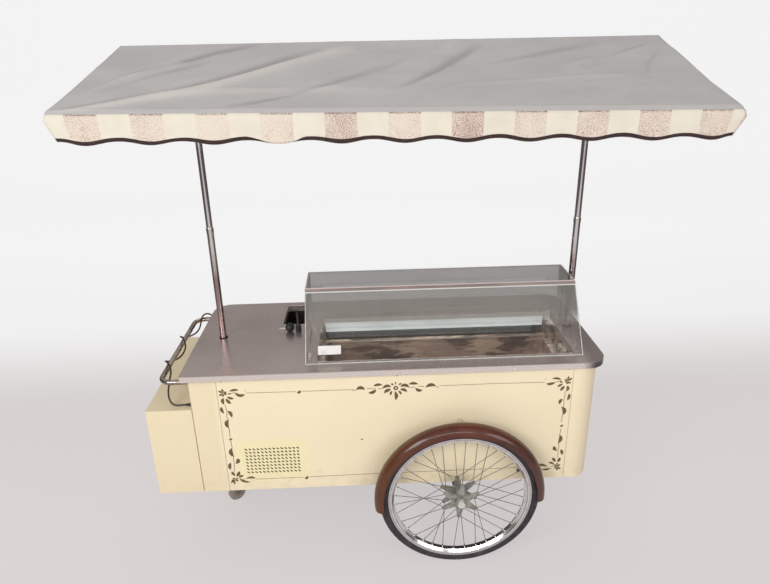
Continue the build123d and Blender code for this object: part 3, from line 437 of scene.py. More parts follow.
def bands(first, rings, sides):
    """Faces between rings of vertices, each ring and the next."""
    faces = []
    for low in range(first, first + (rings - 1) * sides, sides):
        for k in range(sides):
            j = (k + 1) % sides
            faces.append((low + k, low + j, low + sides + j, low + sides + k))
    return faces


def strip_faces(first, stations):
    """Faces of a closed strip with four vertices at each of its stations."""
    last = first + 4 * (stations - 1)
    faces = []
    for a in range(first, last, 4):
        b = a + 4
        faces += [(a, b, b + 2, a + 2), (a + 1, a + 3, b + 3, b + 1), (a, a + 1, b + 1, b),
                  (a + 2, b + 2, b + 3, a + 3)]
    return faces + [(first, first + 2, first + 3, first + 1), (last, last + 1, last + 3, last + 2)]


def rounded(left, right, near, far, corner, steps):
    """Points round a rectangle with rounded corners."""
    places = []
    for x, y, first in ((right - corner, near + corner, -90), (right - corner, far - corner, 0),
                        (left + corner, far - corner, 90), (left + corner, near + corner, 180)):
        for k in range(steps + 1):
            turn = math.radians(first + 90 / steps * k)
            places.append((x + corner * math.cos(turn), y + corner * math.sin(turn)))
    return places


def lathe(profile, sides):
    """A closed form turned about Z, from (radius, height) pairs with both ends on the axis."""
    rings = len(profile) - 2
    vertices = [(0, 0, profile[0][1])]
    for radius, height in profile[1:-1]:
        vertices += circle(radius, height, sides)
    vertices.append((0, 0, profile[-1][1]))
    last = 1 + (rings - 1) * sides
    faces = bands(1, rings, sides)
    for k in range(sides):
        following = (k + 1) % sides
        faces += [(0, 1 + following, 1 + k), (last + k, last + following, len(vertices) - 1)]
    return vertices, faces


def round_curve(name, lines, radius, kind="POLY", fineness=2):
    """A curve with a round section along lines of points in metres."""
    curve = bpy.data.curves.new(name, "CURVE")
    curve.dimensions = "3D"
    curve.bevel_depth = radius
    curve.bevel_resolution = fineness
    curve.use_fill_caps = True
    for points in lines:
        spline = curve.splines.new(kind)
        spline.points.add(len(points) - 1)
        for point, place in zip(spline.points, points):
            point.co = (*place, 1)
    return curve


def tubes(name, lines, radius, finish, closed=False):
    """Round beads along lines of points in metres, as one plain mesh."""
    curve = round_curve(name, lines, radius)
    for spline in curve.splines:
        spline.use_cyclic_u = closed
    holder = linked(name, curve)
    mesh = evaluated(holder)
    bpy.data.objects.remove(holder)
    return new_piece(name, outward(mesh), finish)


def repeat(name, pattern, places, finish, body="cart", size=1.0, spin=0.0, smooth=True):
    """One small form on each of many places, by Geometry Nodes, as a plain mesh on one body.

    A place is its point, the direction it faces and the direction its own X lies along.
    """
    form = linked(name + "_form", outward(mesh_from(name + "_form", *pattern)))
    holder_mesh = mesh_from(name, [p[0] for p in places], [])
    for key, index in (("facing", 1), ("along", 2)):
        layer = holder_mesh.attributes.new(key, "FLOAT_VECTOR", "POINT")
        layer.data.foreach_set("vector", [c for p in places for c in p[index]])
    holder = linked(name, holder_mesh)
    group = bpy.data.node_groups.new(name, "GeometryNodeTree")
    face = group.interface
    face.new_socket("Geometry", in_out="INPUT", socket_type="NodeSocketGeometry")
    inputs = {}
    for label, kind, value in (("Size", "NodeSocketFloat", size), ("Spin", "NodeSocketFloat", spin),
                               ("Seed", "NodeSocketInt", 7), ("Form", "NodeSocketObject", form),
                               ("Finish", "NodeSocketMaterial", finish.material)):
        inputs[face.new_socket(label, in_out="INPUT", socket_type=kind).identifier] = value
    face.new_socket("Geometry", in_out="OUTPUT", socket_type="NodeSocketGeometry")
    tree = Tree(group)
    start = tree.node("NodeGroupInput").outputs
    info = tree.node("GeometryNodeObjectInfo", {}, {"Object": start["Form"]})
    along, facing = (tree.node("GeometryNodeInputNamedAttribute", {"data_type": "FLOAT_VECTOR"},
                               {"Name": key}).outputs["Attribute"] for key in ("along", "facing"))
    lie = tree.node("FunctionNodeAlignRotationToVector", {"axis": "X"}, {"Vector": along})
    stand = tree.node("FunctionNodeAlignRotationToVector", {"axis": "Z", "pivot_axis": "X"},
                      {"Rotation": lie.outputs[0], "Vector": facing})
    chance = tree.node("FunctionNodeRandomValue", {"data_type": "FLOAT"}, {"Seed": start["Seed"]})
    tree.join(start["Spin"], [s for s in chance.inputs if s.enabled and s.type == "VALUE"][1])
    turn = tree.node("ShaderNodeCombineXYZ", {}, {"Z": next(s for s in chance.outputs if s.enabled)})
    angle = tree.node("FunctionNodeEulerToRotation", {}, {0: turn.outputs[0]})
    spun = tree.node("FunctionNodeRotateRotation", {"rotation_space": "LOCAL"},
                     {"Rotation": stand.outputs[0], "Rotate By": angle.outputs[0]})
    laid = tree.node("GeometryNodeInstanceOnPoints", {},
                     {"Points": start["Geometry"], "Instance": info.outputs["Geometry"],
                      "Rotation": spun.outputs[0], "Scale": start["Size"]})
    real = tree.node("GeometryNodeRealizeInstances", {}, {0: laid.outputs[0]})
    painted = tree.node("GeometryNodeSetMaterial", {},
                        {"Geometry": real.outputs[0], "Material": start["Finish"]})
    tree.node("NodeGroupOutput", {}, {0: painted.outputs[0]})
    modifier = holder.modifiers.new("repeat", "NODES")
    modifier.node_group = group
    for key, value in inputs.items():
        modifier[key] = value
    mesh = evaluated(holder)
    bpy.data.objects.remove(holder)
    bpy.data.objects.remove(form)
    return new_piece(name, mesh, finish, body, smooth)


def length_setting(name, description, default):
    return bpy.props.FloatProperty(name=name, description=description, unit="LENGTH", default=default)


def angle_setting(name, description, degrees):
    return bpy.props.FloatProperty(name=name, description=description, subtype="ANGLE",
                                   default=math.radians(degrees))


def colour_setting(name, description, *colour):
    return bpy.props.FloatVectorProperty(name=name, description=description, subtype="COLOR",
                                         default=srgb(*colour))


class CameraSettings(bpy.types.PropertyGroup):
    place: bpy.props.FloatVectorProperty(name="Place", description="Where the camera stands",
                                         subtype="TRANSLATION", default=(-0.1211, -2.4004, 2.0499))
    heading: angle_setting("Heading", "Turn to the right of straight ahead", 1.786)
    tilt: angle_setting("Tilt", "Turn below the horizon", 21.905)
    lean: angle_setting("Lean", "Turn about the line of sight", -1.172)
    focal_pixels: bpy.props.FloatProperty(name="Focal length", description="In pixels of a picture 770 wide",
                                          default=619.4)


class CanopySettings(bpy.types.PropertyGroup):
    stripe_pitch: length_setting("Stripe pitch", "From one stripe to the next", 0.1914)
    stripe_width: length_setting("Stripe width", "Width of one stripe", 0.097)
    stripe_offset: length_setting("Stripe offset", "Middle stripe from the middle", 0.0086)
    drop: length_setting("Drop", "Valance below the eaves at a high point of the hem", 0.079)
    scallop: length_setting("Scallop", "From the hem's high points to its low ones", 0.0115)
    tape: length_setting("Tape", "Height of the dark tape on the hem", 0.0125)
    pull: length_setting("Pull", "How far the hem's corners draw in", 0.030)
    eave_drop: length_setting("Eave drop", "Fall of the eaves from the middle to an end", 0.016)


class LeadSettings(bpy.types.PropertyGroup):
    diameter: length_setting("Diameter", "Diameter of the lead", 0.007)
    length: length_setting("Length", "Length of the lead", 1.517)


class FinishSettings(bpy.types.PropertyGroup):
    cream: colour_setting("Cream", "Body paint", 240, 226, 193)
    counter: colour_setting("Counter", "Counter steel", 178, 167, 162)
    fender: colour_setting("Fender", "Fender enamel", 96, 46, 30)
    roof: colour_setting("Roof", "Roof cloth", 178, 174, 172)
    valance: colour_setting("Valance", "Valance cloth", 226, 218, 202)
    stripe: colour_setting("Stripe", "Faded stripes", 222, 202, 187)
    ornament: colour_setting("Ornament", "Painted border", 92, 72, 44)
    tape: colour_setting("Tape", "Tape on the hem", 38, 20, 18)


class CART_OT_camera(bpy.types.Operator):
    """Stand the camera where the photograph was taken"""

    bl_idname = "cart.camera"
    bl_label = "Camera"

    def execute(self, context):
        values = context.scene.cart_camera
        forward = Vector((math.sin(values.heading) * math.cos(values.tilt),
                          math.cos(values.heading) * math.cos(values.tilt), -math.sin(values.tilt)))
        level = Vector((math.cos(values.heading), -math.sin(values.heading), 0))
        above = level.cross(forward)
        right = math.cos(values.lean) * level + math.sin(values.lean) * above
        top = -math.sin(values.lean) * level + math.cos(values.lean) * above
        data = bpy.data.cameras.new("photo_camera")
        data.sensor_width = 36
        data.lens = values.focal_pixels / 770 * 36
        camera = linked("photo_camera", data)
        turned = Matrix((right, top, -forward)).transposed().to_4x4()
        camera.matrix_world = Matrix.Translation(values.place) @ turned
        context.scene.camera = camera
        return {"FINISHED"}


class CART_OT_lead(bpy.types.Operator):
    """Lay the power lead along its route, wound round the handle"""

    bl_idname = "cart.lead"
    bl_label = "Power lead"

    def execute(self, context):
        values = context.scene.cart_lead
        route = [[c * MILLIMETRE for c in place] for place in CORD_ROUTE]
        curve = round_curve("power_lead", [route], values.diameter / 2, "NURBS", 3)
        curve.resolution_u = 10
        curve.splines[0].order_u = 3
        curve.splines[0].use_endpoint_u = True
        lead = linked("power_lead", curve)
        sheath = mottled("lead sheath", (90, 3), (0.4, 0.8), srgb(50, 34, 26), srgb(84, 62, 50), grain=900,
                         depth=0.00005, Roughness=0.5)
        curve.materials.append(sheath.material)
        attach(lead, "cart")
        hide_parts("power_cord")
        return {"FINISHED"}


class CART_OT_canopy(bpy.types.Operator):
    """Stretch the canopy's cloth over its frame, with its folds, striped valance and scalloped hem"""

    bl_idname = "cart.canopy"
    bl_label = "Canopy"

    front_columns = 212
    end_columns = 46
    roof_rows = 50
    valance_rows = 11
    # Half the cloth's thickness, the roof's rise, the ridge's distance from an end, its half width in the
    # cloth and on its tube, half the length of the stripes' print and the spacing of the threads
    skin = 0.0006
    rise = 0.2
    ridge_inset = 0.095
    ridge_edge = 0.013
    ridge_tube = 0.015
    print_reach = 1.058
    thread_pitch = 0.0016
    # The valance's stiff seam, what hangs free below it and how far from a corner it draws in
    stiff = 0.022
    free = 0.068
    corner_reach = 0.11

    def execute(self, context):
        self.values = context.scene.cart_canopy
        self.half_length = cover_high.x
        self.half_depth = cover_high.y
        self.ridge_half = self.half_length - self.ridge_inset
        loop = self.loop()
        rows = []
        maps = []
        for row in range(self.roof_rows + 1):
            share = row / self.roof_rows
            rows.append([self.roof_point(p, share) for p in loop])
            maps += [(p["along"], -(1 - share) * p["slope"]) for p in loop]
        for row in range(1, self.valance_rows + 1):
            share = row / self.valance_rows
            rows.append([self.valance_point(p, share * self.depth_at(p)) for p in loop])
            maps += [(p["along"], share * self.depth_at(p)) for p in loop]
        mesh = self.cloth_mesh(rows, maps)
        roof = rows[:self.roof_rows + 1]
        creases = [self.folds(p["side"], *v.xy) for row in roof for p, v in zip(loop, row)]
        creases += [0.0] * (len(mesh.vertices) - len(creases))
        layer = mesh.attributes.new("crease", "FLOAT", "POINT")
        layer.data.foreach_set("value", [max(-1, min(1, c / 12)) for c in creases])
        cloth = new_piece("canopy_cloth", mesh, self.cloth_finish(context.scene.cart_finish))
        thickness = cloth.modifiers.new("thickness", "SOLIDIFY")
        thickness.thickness = 2 * self.skin
        thickness.offset = 0
        mesh = evaluated(cloth)
        cloth.modifiers.clear()
        cloth.data = mesh
        mesh.shade_smooth()
        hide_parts("canopy_cover")
        tape = self.tape(loop)
        self.stitches(loop)
        self.flat_area()
        return {"FINISHED"}

    def eaves(self, x):
        return cover_high.z - self.rise - self.values.eave_drop * x / self.half_length

    def flat_area(self):
        long_slope = math.hypot(self.half_depth - self.ridge_tube, self.rise)
        end_slope = math.hypot(self.ridge_inset, self.rise)
        roof = 2 * (self.half_length + self.ridge_half) * long_slope
        roof += 2 * (self.half_depth + self.ridge_tube) * end_slope
        ridge = 4 * self.ridge_half * self.ridge_tube
        valance = 4 * (self.half_length + self.half_depth) * (self.values.drop + self.values.scallop / 2)
        return roof + ridge + valance

    def loop(self):
        """Points round the eaves, the front from left to right first, with what each needs."""
        made = []
        for side, way, columns in (("front", 1, self.front_columns), ("right", 1, self.end_columns),
                                   ("back", -1, self.front_columns), ("left", -1, self.end_columns)):
            for i in range(columns):
                share = 2 * i / columns - 1
                if columns == self.front_columns:
                    across, off, half, run = way * share, -way, self.half_length, self.half_depth
                    p = {"outward": (0, -way), "along": across * half}
                else:
                    across, off, half, run = way, way * share, self.half_depth, self.ridge_inset
                    p = {"outward": (way, 0), "along": off * half}
                p.update(side=side, x=across * self.half_length, y=off * self.half_depth,
                         ridge=(across * self.ridge_half, off * self.ridge_edge),
                         slope=math.hypot(run, self.rise), to_corner=(1 - abs(share)) * half)
                made.append(p)
        return made

    def roof_point(self, p, share):
        """A point on the roof, from the ridge at 0 to the eaves at 1."""
        x = p["ridge"][0] + (p["x"] - p["ridge"][0]) * share
        y = p["ridge"][1] + (p["y"] - p["ridge"][1]) * share
        z = cover_high.z + (self.eaves(p["x"]) - cover_high.z) * share
        lift = self.folds(p["side"], x, y) * math.sin(math.pi * min(1, share * 1.02 + 0.02)) ** 0.35
        fall = 0.004 * math.sin(math.pi * share)
        corner = self.blunt(p, (1 - share) * p["slope"])
        slack = 0.0025 * noise.noise(Vector((x * 6, y * 6, 3.7))) * math.sin(math.pi * share)
        height = lift * MILLIMETRE + slack - fall
        z += height * 0.92
        x += p["outward"][0] * height * 0.4
        y += p["outward"][1] * height * 0.4
        return Vector((x - math.copysign(corner, p["x"]), y - math.copysign(corner, p["y"]), z))

    def blunt(self, p, away):
        """How far a corner of the cloth is rounded in, at a distance from the eaves."""
        return 0.007 * max(0, 1 - p["to_corner"] / 0.03) ** 2 * max(0, 1 - away / 0.018) ** 2

    def folds(self, side, x, y):
        """Height in mm of the folds at a place on the roof."""
        if side == "back":
            x, y = -x, -y
        if side in ("right", "left"):
            ripple = noise.noise(Vector((x * 9, y * 14, 1.0)))
            return 2.2 * math.sin(y * 21 + 1.3 * math.sin(y * 9)) + 1.5 * ripple
        height = 0.0
        x, y = x / MILLIMETRE, y / MILLIMETRE
        for points, rise, width in ROOF_FOLDS:
            if side == "back":
                rise *= 0.8
            nearest = 1e9
            run = 0.0
            at = 0.0
            lengths = [math.dist(a, b) for a, b in zip(points, points[1:])]
            total = sum(lengths)
            for (a, b), length in zip(zip(points, points[1:]), lengths):
                t = ((x - a[0]) * (b[0] - a[0]) + (y - a[1]) * (b[1] - a[1])) / length ** 2
                t = min(1, max(0, t))
                away = math.hypot(x - a[0] - t * (b[0] - a[0]), y - a[1] - t * (b[1] - a[1]))
                if away < nearest:
                    nearest = away
                    at = (run + t * length) / total
                run += length
            spread = width * (0.45 + 0.75 * at)
            if nearest < 3 * spread:
                fading = math.sin(math.pi * min(1, 0.04 + at * 0.96)) ** 0.4
                height += rise * math.exp(-(nearest / spread) ** 2) * fading
        return height

    def depth_at(self, p):
        """Length of the valance from the eaves to the hem."""
        middle = self.values.stripe_offset if p["side"] in ("front", "back") else 0.0
        wave = 0.5 + 0.5 * math.cos(2 * math.pi * (p["along"] - middle) / self.values.stripe_pitch)
        return self.values.drop + self.values.scallop * wave ** 1.15

    def valance_point(self, p, depth):
        """A point on the valance, at a depth below the eaves."""
        low = self.eaves(p["x"]) - depth
        below = max(0, depth - self.stiff) / self.free
        near = max(0, 1 - p["to_corner"] / self.corner_reach)
        draw = self.values.pull * below * near ** 1.6
        sway = 0.0035 * below * math.sin(p["along"] * 17 + (2 if p["side"] == "back" else 0))
        sway += 0.0022 * below * noise.noise(Vector((p["x"] * 11, p["y"] * 11, 2.0)))
        crimp = 0.0012 * below * math.sin(p["along"] * 2 * math.pi / self.values.stripe_pitch)
        out = sway + crimp - 0.001 * below
        x = p["x"] + p["outward"][0] * out
        y = p["y"] + p["outward"][1] * out
        if p["side"] in ("front", "back"):
            x -= math.copysign(draw, p["x"])
        y -= math.copysign(draw * 0.35, p["y"])
        if p["side"] in ("right", "left"):
            x -= math.copysign(self.values.pull * below * (0.35 + 0.65 * near), p["x"])
        corner = self.blunt(p, depth)
        return Vector((x - math.copysign(corner, p["x"]), y - math.copysign(corner, p["y"]), low))

    def cloth_mesh(self, rows, maps):
        count = len(rows[0])
        vertices = [v for row in rows for v in row]
        faces = []
        for r in range(len(rows) - 1):
            for i in range(count):
                j = (i + 1) % count
                faces.append((r * count + i, (r + 1) * count + i, (r + 1) * count + j, r * count + j))
        front = list(range(self.front_columns + 1))
        back_start = self.front_columns + self.end_columns
        back = [(back_start + k) % count for k in reversed(range(self.front_columns + 1))]
        for k in range(self.front_columns):
            faces.append((front[k], front[k + 1], back[k + 1], back[k]))
        right = list(range(self.front_columns, back_start + 1))
        left = list(range(back_start + self.front_columns, count)) + [0]
        faces.append(tuple(reversed(right)))
        faces.append(tuple(reversed(left)))
        mesh = mesh_from("canopy_cloth", vertices, faces)
        layer = mesh.uv_layers.new(name="cloth")
        for face in mesh.polygons:
            last_column = len({index % count for index in face.vertices} & {0, count - 1}) == 2
            for loop_index, vertex in zip(face.loop_indices, face.vertices):
                along, down = maps[vertex]
                if last_column and vertex % count == 0 and face.index < (len(rows) - 1) * count:
                    along = -self.half_depth
                layer.data[loop_index].uv = (along, down)
        return outward(mesh)

    def tape(self, loop):
        """Dark tape folded over the hem, with the torn stretch near the handle's end."""
        section = [(1.0, 1), (0.55, 1.15), (0.12, 1.15), (-0.06, 0), (0.12, -1.15), (0.55, -1.15), (1.0, -1)]
        torn_at, least, clear = -0.364, 0.0002, 0.0005
        vertices = []
        rings = []
        for p in loop:
            depth = self.depth_at(p)
            bare = 0.0
            if p["side"] == "front":
                away = p["x"] - torn_at
                bare = max(0, min(1, (0.105 + away) / 0.068 if away < 0 else (0.070 - away) / 0.033))
            uneven = 0.9 + 0.18 * noise.noise(Vector((p["x"] * 8, p["y"] * 8, 9.1)))
            height = self.values.tape * (1 - bare) * uneven
            ring = []
            for up, out in section:
                place = self.valance_point(p, depth - up * max(height, least))
                side = out * (self.skin + clear)
                place.x += p["outward"][0] * side
                place.y += p["outward"][1] * side
                ring.append(len(vertices))
                vertices.append(place)
            rings.append((ring, bare >= 1))
        faces = []
        for (ring, gone), (following, next_gone) in zip(rings, rings[1:] + rings[:1]):
            if gone and next_gone:
                continue
            for a in range(len(section)):
                b = (a + 1) % len(section)
                faces.append((ring[a], following[a], following[b], ring[b]))
        mesh = mesh_from("hem_tape", vertices, faces)
        work = bmesh.new()
        work.from_mesh(mesh)
        bmesh.ops.delete(work, geom=[v for v in work.verts if not v.link_faces], context="VERTS")
        bmesh.ops.holes_fill(work, edges=[e for e in work.edges if e.is_boundary], sides=0)
        work.to_mesh(mesh)
        work.free()
        colour = tuple(bpy.context.scene.cart_finish.tape)
        finish = mottled("hem tape", (60, 4, 0.55, (1, 1, 3)), (0.35, 0.75), colour, srgb(62, 38, 34),
                         grain=1500, depth=0.0002, Roughness=0.75)
        return new_piece("hem_tape", outward(mesh), finish)

    def stitches(self, loop):
        """A row of thread along the eaves' seam, one stitch beside the next."""
        below, spacing = 0.0045, 0.0085
        seam = [self.valance_point(p, below) for p in loop]
        places = []
        carried = 0.0
        for p, start, end in zip(loop, seam, seam[1:] + seam[:1]):
            step = end - start
            out = Vector((*p["outward"], 0.0))
            while carried < step.length:
                at = start + step * (carried / step.length)
                places.append((tuple(at + out * (self.skin + 0.0001)), tuple(out), tuple(step.normalized())))
                carried += spacing
            carried -= step.length
        sides = 6
        vertices = []
        shares = (-1.0, -0.75, 0.0, 0.75, 1.0)
        for share in shares:
            swell = 0.00045 * math.sqrt(max(0.05, 1 - share ** 2))
            vertices += [(along, x, y) for x, y, along in circle(swell, share * 0.0030, sides)]
        last = sides * (len(shares) - 1)
        faces = [tuple(range(sides)), tuple(reversed(range(last, last + sides)))]
        faces += bands(0, len(shares), sides)
        thread = mottled("thread", (400, 2), None, srgb(226, 218, 204), srgb(186, 174, 160), Roughness=0.7)
        repeat("seam_stitches", (vertices, faces), places, thread)

    def cloth_finish(self, colours):
        values = self.values
        finish = Finish("canopy canvas", Roughness=0.85)
        along, down = finish.axes(finish.node("ShaderNodeUVMap", {"uv_map": "cloth"}).outputs[0])[:2]
        centred = (along - values.stripe_offset).wrap(-values.stripe_pitch / 2, values.stripe_pitch / 2)
        ragged = finish.cloud(420, 3) * 0.010 - 0.005
        half = values.stripe_width / 2
        in_stripe = (abs(centred) + ragged).step(half + 0.0015, half - 0.0015)
        below = down.step(-0.001, 0.001)
        stops = [((x / 1000 + self.print_reach) / (2 * self.print_reach), share) for x, share in STRIPE_PRINT]
        left = finish.ramp((along + self.print_reach) / (2 * self.print_reach), stops)
        patch = finish.cloud(16, 2).step(0.35, 0.65)
        coarse = finish.cloud(300, 3, 0.7)
        speckle = (coarse + left * 0.08 + patch * 0.04).step(0.585, 0.635)
        stitched = down.step(0.007, 0.002) * finish.cloud(520, 1).step(0.46, 0.54)
        ground = finish.blend(left * 0.9, tuple(colours.valance), tuple(colours.stripe))
        ground = finish.blend(0.35, ground, tuple(colours.stripe))
        stripe = finish.coats(ground, (speckle * (left * 0.55 + 0.28), (120, 88, 84)),
                              (stitched, (112, 88, 86)))
        soil = finish.cloud(14, 4).step(0.35, 0.75)
        valance = finish.blend(soil * 0.5, tuple(colours.valance), srgb(214, 202, 182))
        valance = finish.blend(in_stripe, valance, stripe)
        crease = finish.node("ShaderNodeAttribute", {"attribute_name": "crease"}).outputs["Fac"]
        crease = Quantity(finish, crease)
        fade = finish.cloud(3.2, 4, 0.6, stretch=(1, 2.4, 1)).step(0.3, 0.75)
        lint = finish.cloud(190, 3, 0.7, stretch=(1, 3, 1)).step(0.3, 0.8)
        roof = finish.coats(tuple(colours.roof), (fade * 0.6, (160, 156, 156)),
                            (lint * 0.25, (200, 196, 192)),
                            # Painted light on the folds: crests lighter, troughs darker
                            (crease.step(0.05, 0.9) * 0.55, (208, 201, 193)),
                            ((crease * -1).step(0.05, 0.8) * 0.7, (136, 132, 134)),
                            # Painted highlight along the rounded eaves
                            (down.step(-0.034, -0.030) * 0.4, (206, 200, 196)))
        finish.colour(finish.blend(below, roof, valance))
        weave = [(way * 2 * math.pi / self.thread_pitch).sine() for way in (along, down)]
        crinkle = finish.cloud(38, 4, 0.6, stretch=(1, 1.6, 1))
        seam = abs(down + 0.032).step(0.0015, 0.0004) + abs(down + 0.003).step(0.002, 0.0005)
        finish.relief((weave[0] * weave[1], 0.00012), (crinkle, 0.0016), (seam, 0.0010))
        return finish


class CART_OT_stage(bpy.types.Operator):
    """Set the pale floor and backdrop and the soft lamps"""

    bl_idname = "cart.stage"
    bl_label = "Stage"

    def execute(self, context):
        self.backdrop()
        self.world(context.scene)
        lamps = [("key_lamp", (-3.3, -3.9, 3.3), (0, 0, 0.8), 2.2, 2.2, 124),
                 ("fill_lamp", (3.4, -3.4, 2.4), (0, 0, 0.8), 2.0, 2.0, 46),
                 ("top_lamp", (0.2, 1.5, 4.6), (0, 0, 0.9), 3.0, 3.0, 30),
                 ("strip_lamp", (0.1, -2.75, 2.35), (0.1, -0.2, 0.75), 2.2, 0.16, 13)]
        for name, place, target, width, height, power in lamps:
            data = bpy.data.lights.new(name, "AREA")
            data.shape = "RECTANGLE"
            data.size = width
            data.size_y = height
            data.energy = power
            lamp = linked(name, data)
            aim = (Vector(target) - Vector(place)).to_track_quat("-Z", "Y")
            lamp.matrix_world = Matrix.Translation(place) @ aim.to_matrix().to_4x4()
        context.scene.view_settings.view_transform = "Standard"
        return {"FINISHED"}

    def backdrop(self):
        """One sheet: floor, a rounded cove and a wall."""
        cove_start, cove = 6.4, 1.6
        front, top, half_width = -12.0, 9.0, 14.0
        profile = [(front, 0.0), (cove_start, 0.0)]
        for k in range(1, 13):
            turn = math.radians(90 * k / 12)
            profile.append((cove_start + cove * math.sin(turn), cove * (1 - math.cos(turn))))
        profile.append((cove_start + cove, top))
        vertices = [(x, y, z) for x in (-half_width, half_width) for y, z in profile]
        count = len(profile)
        faces = [(count + i, count + i + 1, i + 1, i) for i in range(count - 1)]
        mesh = mesh_from("backdrop", vertices, faces)
        mesh.shade_smooth()
        backdrop = linked("backdrop", mesh)
        finish = Finish("backdrop paper", Roughness=0.9, Base_Color=(*srgb(226, 222, 222), 1))
        x, y, z = finish.axes()
        glow = finish.emission(finish.blend(y.step(0.85, 2.2), srgb(219, 213, 213), srgb(255, 255, 255)))
        path = finish.node("ShaderNodeLightPath").outputs
        seen = Quantity(finish, path["Is Camera Ray"]).most(Quantity(finish, path["Is Transmission Ray"]))
        lit = finish.mix(seen * (0.75 + y.step(1.6, 4.5) * 0.08), finish.shader.outputs[0], glow)
        away = abs(x).step(2.4, 4.2).most(y.step(0.9, 2.0)) * z.step(3.4, 1.6)
        room = finish.emission(finish.blend(away, srgb(196, 190, 188), srgb(40, 34, 34)))
        mirrored = finish.mix(Quantity(finish, path["Is Glossy Ray"]) * 0.85, lit, room)
        finish.join(mirrored, finish.output.inputs["Surface"])
        mesh.materials.append(finish.material)

    def world(self, scene):
        """An even light in view, dimmer towards both sides in what mirrors it."""
        world = bpy.data.worlds.new("soft_light")
        scene.world = world
        world.use_nodes = True
        tree = Tree(world.node_tree)
        side = tree.axes(tree.node("ShaderNodeTexCoord").outputs["Generated"])[0]
        mirrored = abs(side).step(0.35, 0.9, 0.62, 0.16)
        ray = tree.node("ShaderNodeLightPath").outputs["Is Camera Ray"]
        strength = tree.node("ShaderNodeMix", {}, {"Factor": ray, "A": mirrored, "B": 0.84}).outputs["Result"]
        background = world.node_tree.nodes["Background"].inputs
        tree.join(strength, background["Strength"])
        tree.join((1, 1, 1, 1), background["Color"])


class CART_OT_metals(bpy.types.Operator):
    """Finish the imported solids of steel, chrome, zinc and aluminium"""

    bl_idname = "cart.metals"
    bl_label = "Metals"

    def execute(self, context):
        steel = Finish("counter steel", Metallic=0.75)
        x, y, z = steel.axes()
        grain = steel.cloud(60, 4, 0.6, stretch=(1.2, 40, 40))
        smear = steel.cloud(5, 4, 0.6)
        below = z.step(0.8992, 0.8950)
        steel.colour(steel.coats(tuple(context.scene.cart_finish.counter),
                                 (smear.step(0.3, 0.7), (166, 154, 149)),
                                 (grain.step(0.4, 0.7) * 0.35, (196, 182, 176)),
                                 # Painted light: the steel is lighter towards the front
                                 (y.step(0.0, -0.32) * 0.4, (216, 202, 195)),
                                 # Painted highlight along the front band
                                 (below * (0.45 + grain * 0.75), (248, 238, 232)),
                                 # Painted shade where the band rounds off at the right end
                                 (x.step(0.69, 0.755) * (below * 0.42 + 0.5), (52, 48, 50))))
        steel.rough(0.17 + grain * 0.12 + smear * 0.06)
        steel.relief((grain, 0.00008))
        finish_nodes(steel, "counter_top")
        tank = Finish("tank steel", Metallic=0.7)
        reflection_patches = tank.cloud(9, 4, 0.6)
        glint = tank.cloud(6, 3, 0.6, stretch=(1, 4, 4))
        # Painted reflections: warm light patches and glints on the tank steel
        tank.colour(tank.coats(srgb(128, 104, 96), (reflection_patches.step(0.40, 0.60), (226, 202, 188)),
                               (glint.step(0.50, 0.60), (255, 238, 214))))
        tank.rough(0.14 + reflection_patches * 0.16)
        finish_nodes(tank, "well_tank")
        pole = Finish("pole chrome", Metallic=1.0)
        z = pole.axes()[2]
        haze = pole.cloud(40, 3)
        low = (z + haze * 0.1).step(1.36, 1.20)
        # Painted shade and reflection: the poles are darker and pinker towards the bottom
        pole.colour(pole.blend(low * 0.8, srgb(250, 246, 244), srgb(146, 112, 112)))
        pole.rough(0.07 + haze * 0.08)
        finish_nodes(pole, "pole_lowers", "pole_uppers", "pole_collars")
        for wheel in ("front", "back"):
            self.rim(wheel)
        wire = Finish("spoke wire", Metallic=0.9)
        tarnish = wire.cloud(60, 3)
        near_rim = wheel_place(wire)[0].step(0.258, 0.264)
        wire.colour(wire.coats(srgb(112, 90, 96), (tarnish.step(0.35, 0.7), (150, 132, 132)),
                               (near_rim, (226, 220, 214))))
        wire.rough(0.28 + tarnish * 0.2)
        finish_nodes(wire, "front_spokes", "back_spokes")
        rail = Finish("glass rail", Metallic=0.3, Roughness=0.3)
        z = rail.axes()[2]
        tint = rail.cloud(7, 3, stretch=(1, 6, 6))
        # Painted highlights: a pink line along the rail's top edge and a white one along its bottom edge
        rail.colour(rail.coats(srgb(138, 124, 120), (tint.step(0.35, 0.7), (164, 146, 142)),
                               (z.step(1.1462, 1.1470), (216, 186, 182)),
                               (z.step(1.1372, 1.1364), (232, 228, 222))))
        rail.relief((tint, 0.0003))
        finish_nodes(rail, "glass_edge_rail")
        plain_finishes(PLAIN_METALS)
        return {"FINISHED"}

    def rim(self, wheel):
        """Chrome with painted dark reflection rings, and a painted dark reflection, a little rougher, between
        the nipples on the side of the rim next to the body.
        """
        low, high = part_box(f"{wheel}_rim")
        finish = Finish(f"{wheel} rim chrome", Metallic=1.0)
        y = finish.axes()[1]
        radius, turn = wheel_place(finish)
        spacing = abs((turn * (36 / (2 * math.pi))).wrap(-0.5, 0.5))
        middle = (low.y + high.y) / 2
        inboard = (y - middle if wheel == "front" else middle - y).step(0.002, 0.004)
        dark_reflection = spacing.step(0.40, 0.33) * inboard * radius.step(0.2790, 0.2770)
        haze = finish.cloud(40, 3)
        beads = (radius * (2 * math.pi / 0.0105)).sine()
        # Painted reflections: dark rings round the rim and a dark band between the nipples
        finish.colour(finish.coats(srgb(246, 244, 244), (haze.step(0.4, 0.8), (222, 218, 218)),
                                   (beads.step(0.3, 0.95) * 0.55, (122, 116, 118)),
                                   (dark_reflection * 0.9, (84, 74, 66))))
        finish.rough(0.10 + haze * 0.10 + dark_reflection * 0.3)
        finish_nodes(finish, f"{wheel}_rim")


